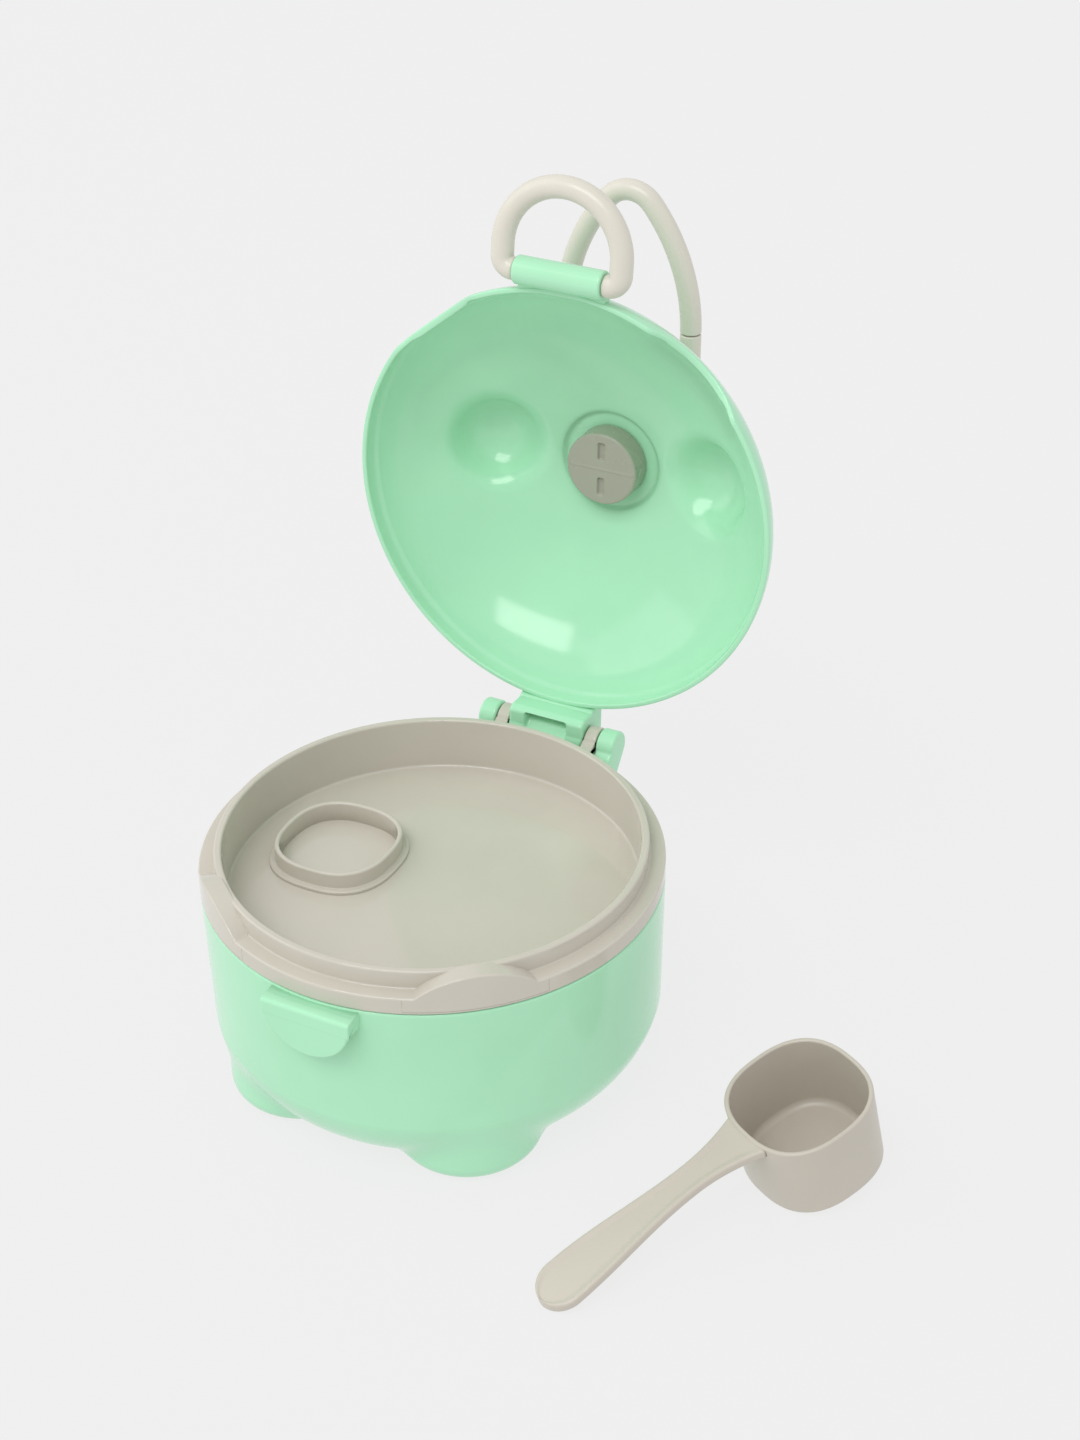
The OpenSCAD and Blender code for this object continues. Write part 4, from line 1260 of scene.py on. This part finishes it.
class DISPENSER_OT_hook_gate(bpy.types.Operator):
    """Build the gate that closes the hook"""

    bl_idname = "dispenser.hook_gate"
    bl_label = "Hook gate"

    def execute(self, context):
        *_, bars, _ = settings()
        up = closed_pivot("hook_swivel")[2]
        root = bars.hook_base_at + bars.hook_bar_r + bars.gate_eye_edge + bars.gate_neck
        line = np.array([[bars.hook_half, -root], [bars.hook_half, 0.3 * MM - bars.hook_wide_at]])
        path, radius = rounded_ends(along(line, 2 * MM), bars.hook_bar_r, 0.4 * MM)
        bar = flat_tube(path, radius) + [0, 0, up]
        eye_r = bars.hook_bar_r + 1 * MM
        outline = np.concatenate([
            arc_points((bars.hook_half, -bars.hook_base_at), eye_r, -math.radians(40),
                       math.radians(220), 40),
            [[bars.hook_half - 1.6 * MM, -root - 1 * MM], [bars.hook_half + 1.6 * MM, -root - 1 * MM]],
        ])
        eye = plate(outline, up - bars.gate_eye_h / 2, up + bars.gate_eye_h / 2, 0.3 * MM)
        make_piece(
            "hook_gate_bar", [about_hinge(bar), about_hinge(eye)], finish("bar_polypropylene"),
            "hook_gate", "hook_gate",
        )
        return {"FINISHED"}


class DISPENSER_OT_plug(bpy.types.Operator):
    """Build the round plug inside the dome lid"""

    bl_idname = "dispenser.plug"
    bl_label = "Swivel plug"

    def execute(self, context):
        bowl, _, tray, dome, bars, _ = settings()
        _, _, _, _, top = heights(bowl, tray, dome)
        high = top - dome.wall - tray.gap
        # The plug's darker grey finish is painted shade for the dim inside of the dome lid
        make_piece(
            "swivel_plug_disc", [about_hinge(plug_body(bars, high - bars.plug_h, high))],
            finish("plug_painted_shade_polypropylene"), "carry_hook", "swivel_plug",
        )
        return {"FINISHED"}


class DISPENSER_OT_scoop(bpy.types.Operator):
    """Build the scoop where it lies on the table"""

    bl_idname = "dispenser.scoop"
    bl_label = "Scoop"

    def execute(self, context):
        bowl, *_, scoop = settings()
        rise = scoop.height - scoop.droop - scoop.handle_t - scoop.rim_drop
        tilt = math.atan2(rise, scoop.reach - scoop.foot_half)
        turned = Matrix.Rotation(scoop.heading, 3, "Z") @ Matrix.Rotation(tilt, 3, "Y")
        offset = (
            bowl.radius + scoop.away, -scoop.front, FLOOR_Z + scoop.foot_half * math.sin(tilt)
        )
        grids = [placed(grid, turned, offset) for grid in (scoop_cup(scoop), scoop_handle(scoop))]
        make_piece("scoop_moulding", grids, finish("scoop_polypropylene"), "scoop", "scoop")
        return {"FINISHED"}


class DISPENSER_OT_pins_and_seal(bpy.types.Operator):
    """Give the pins and the seal their materials"""

    bl_idname = "dispenser.pins_and_seal"
    bl_label = "Pins and seal"

    def execute(self, context):
        finish_node("hinge_pin", finish("drawn_steel"))
        finish_node("gate_pin", finish("drawn_steel"))
        finish_node("inner_lid_seal", finish("clear_silicone"))
        return {"FINISHED"}


class DISPENSER_OT_stage(bpy.types.Operator):
    """Set up the camera, the table and the soft studio light"""

    bl_idname = "dispenser.stage"
    bl_label = "Stage"

    def execute(self, context):
        stage = context.scene.dispenser_stage
        add_camera(stage)
        add_floor(stage)
        add_lights(stage)
        return {"FINISHED"}


def add_camera(stage):
    """Camera on a sphere round its target, turned about its own axis by roll."""
    azimuth, elevation = stage.azimuth, stage.elevation
    back = np.array([
        math.sin(azimuth) * math.cos(elevation),
        -math.cos(azimuth) * math.cos(elevation),
        math.sin(elevation),
    ])
    right = np.array([math.cos(azimuth), math.sin(azimuth), 0])
    up = np.cross(back, right)
    rolled = math.cos(stage.roll) * right + math.sin(stage.roll) * up
    target = np.array([stage.target_x, stage.target_y, stage.target_z])
    lens = bpy.data.cameras.new("camera")
    lens.lens = stage.lens
    lens.clip_start = 0.01
    lens.clip_end = 50
    camera = bpy.data.objects.new("camera", lens)
    turned = Matrix(np.stack([rolled, np.cross(back, rolled), back], -1)).to_4x4()
    camera.matrix_world = Matrix.Translation(target + back * stage.distance) @ turned
    bpy.context.scene.collection.objects.link(camera)
    bpy.context.scene.camera = camera


def add_floor(stage):
    """Square table top at the height that the feet stand on."""
    half = stage.floor_size / 2
    corners = [(-half, -half, FLOOR_Z), (half, -half, FLOOR_Z), (half, half, FLOOR_Z), (-half, half, FLOOR_Z)]
    mesh = bpy.data.meshes.new("table")
    mesh.from_pydata(corners, [], [(0, 1, 2, 3)])
    mesh.materials.append(finish("table_top"))
    floor = bpy.data.objects.new("table", mesh)
    bpy.context.scene.collection.objects.link(floor)


def area_light(name, power, width, place, target):
    """Rectangular soft box at a place, aimed at a target, all in metres."""
    light = bpy.data.lights.new(name, "AREA")
    light.energy = power
    light.shape = "RECTANGLE"
    light.size, light.size_y = width
    box = bpy.data.objects.new(name, light)
    aim = np.array(place) - np.array(target)
    aim = aim / np.linalg.norm(aim)
    side = np.cross([0, 0, 1.0], aim)
    side /= np.linalg.norm(side)
    turned = Matrix(np.stack([side, np.cross(aim, side), aim], -1)).to_4x4()
    box.matrix_world = Matrix.Translation(place) @ turned
    bpy.context.scene.collection.objects.link(box)


def add_lights(stage):
    """Even sky, a key soft box above the front and a broad weaker one at the left."""
    world = bpy.data.worlds.new("sky")
    world.use_nodes = True
    world.node_tree.nodes["Background"].inputs["Color"].default_value = (1, 1, 1, 1)
    world.node_tree.nodes["Background"].inputs["Strength"].default_value = stage.sky
    bpy.context.scene.world = world
    bpy.context.scene.view_settings.view_transform = "Standard"
    area_light("key", stage.key, width=(1.5, 0.9), place=(0.0, -1.3, 2.05), target=LIGHT_TARGET)
    area_light("fill", stage.fill, width=(2.0, 2.0), place=(-1.8, -0.6, 1.4), target=LIGHT_TARGET)


class DISPENSER_PT_panel(bpy.types.Panel):
    """Lists the dispenser's pieces"""

    bl_idname = "DISPENSER_PT_panel"
    bl_label = "Formula dispenser"
    bl_space_type = "VIEW_3D"
    bl_region_type = "UI"
    bl_category = "Dispenser"

    def draw(self, context):
        for operator in OPERATORS:
            self.layout.operator(operator.bl_idname)
        for name in GROUPS:
            group = getattr(context.scene, name)
            box = self.layout.box()
            box.label(text=name.split("_")[1].capitalize())
            for field in type(group).__annotations__:
                box.prop(group, field)


OPERATORS = (
    DISPENSER_OT_bowl, DISPENSER_OT_tray_lid, DISPENSER_OT_dome_lid, DISPENSER_OT_latch_ring,
    DISPENSER_OT_carry_hook, DISPENSER_OT_hook_gate, DISPENSER_OT_plug, DISPENSER_OT_scoop,
    DISPENSER_OT_pins_and_seal, DISPENSER_OT_stage,
)
GROUPS = {
    "dispenser_bowl": BowlSizes,
    "dispenser_hinge": HingeSizes,
    "dispenser_tray": TrayLidSizes,
    "dispenser_dome": DomeSizes,
    "dispenser_bars": BarSizes,
    "dispenser_scoop": ScoopSizes,
    "dispenser_finishes": Finishes,
    "dispenser_stage": StageSettings,
}


def register():
    for name, group in GROUPS.items():
        bpy.utils.register_class(group)
        setattr(bpy.types.Scene, name, bpy.props.PointerProperty(type=group))
    for kind in OPERATORS + (DISPENSER_PT_panel,):
        bpy.utils.register_class(kind)


def unregister():
    for kind in (DISPENSER_PT_panel,) + OPERATORS[::-1]:
        bpy.utils.unregister_class(kind)
    for name, group in GROUPS.items():
        delattr(bpy.types.Scene, name)
        bpy.utils.unregister_class(group)


def main():
    register()
    for operator in OPERATORS:
        group, name = operator.bl_idname.split(".")
        getattr(getattr(bpy.ops, group), name)()


if __name__ == "__main__":
    main()
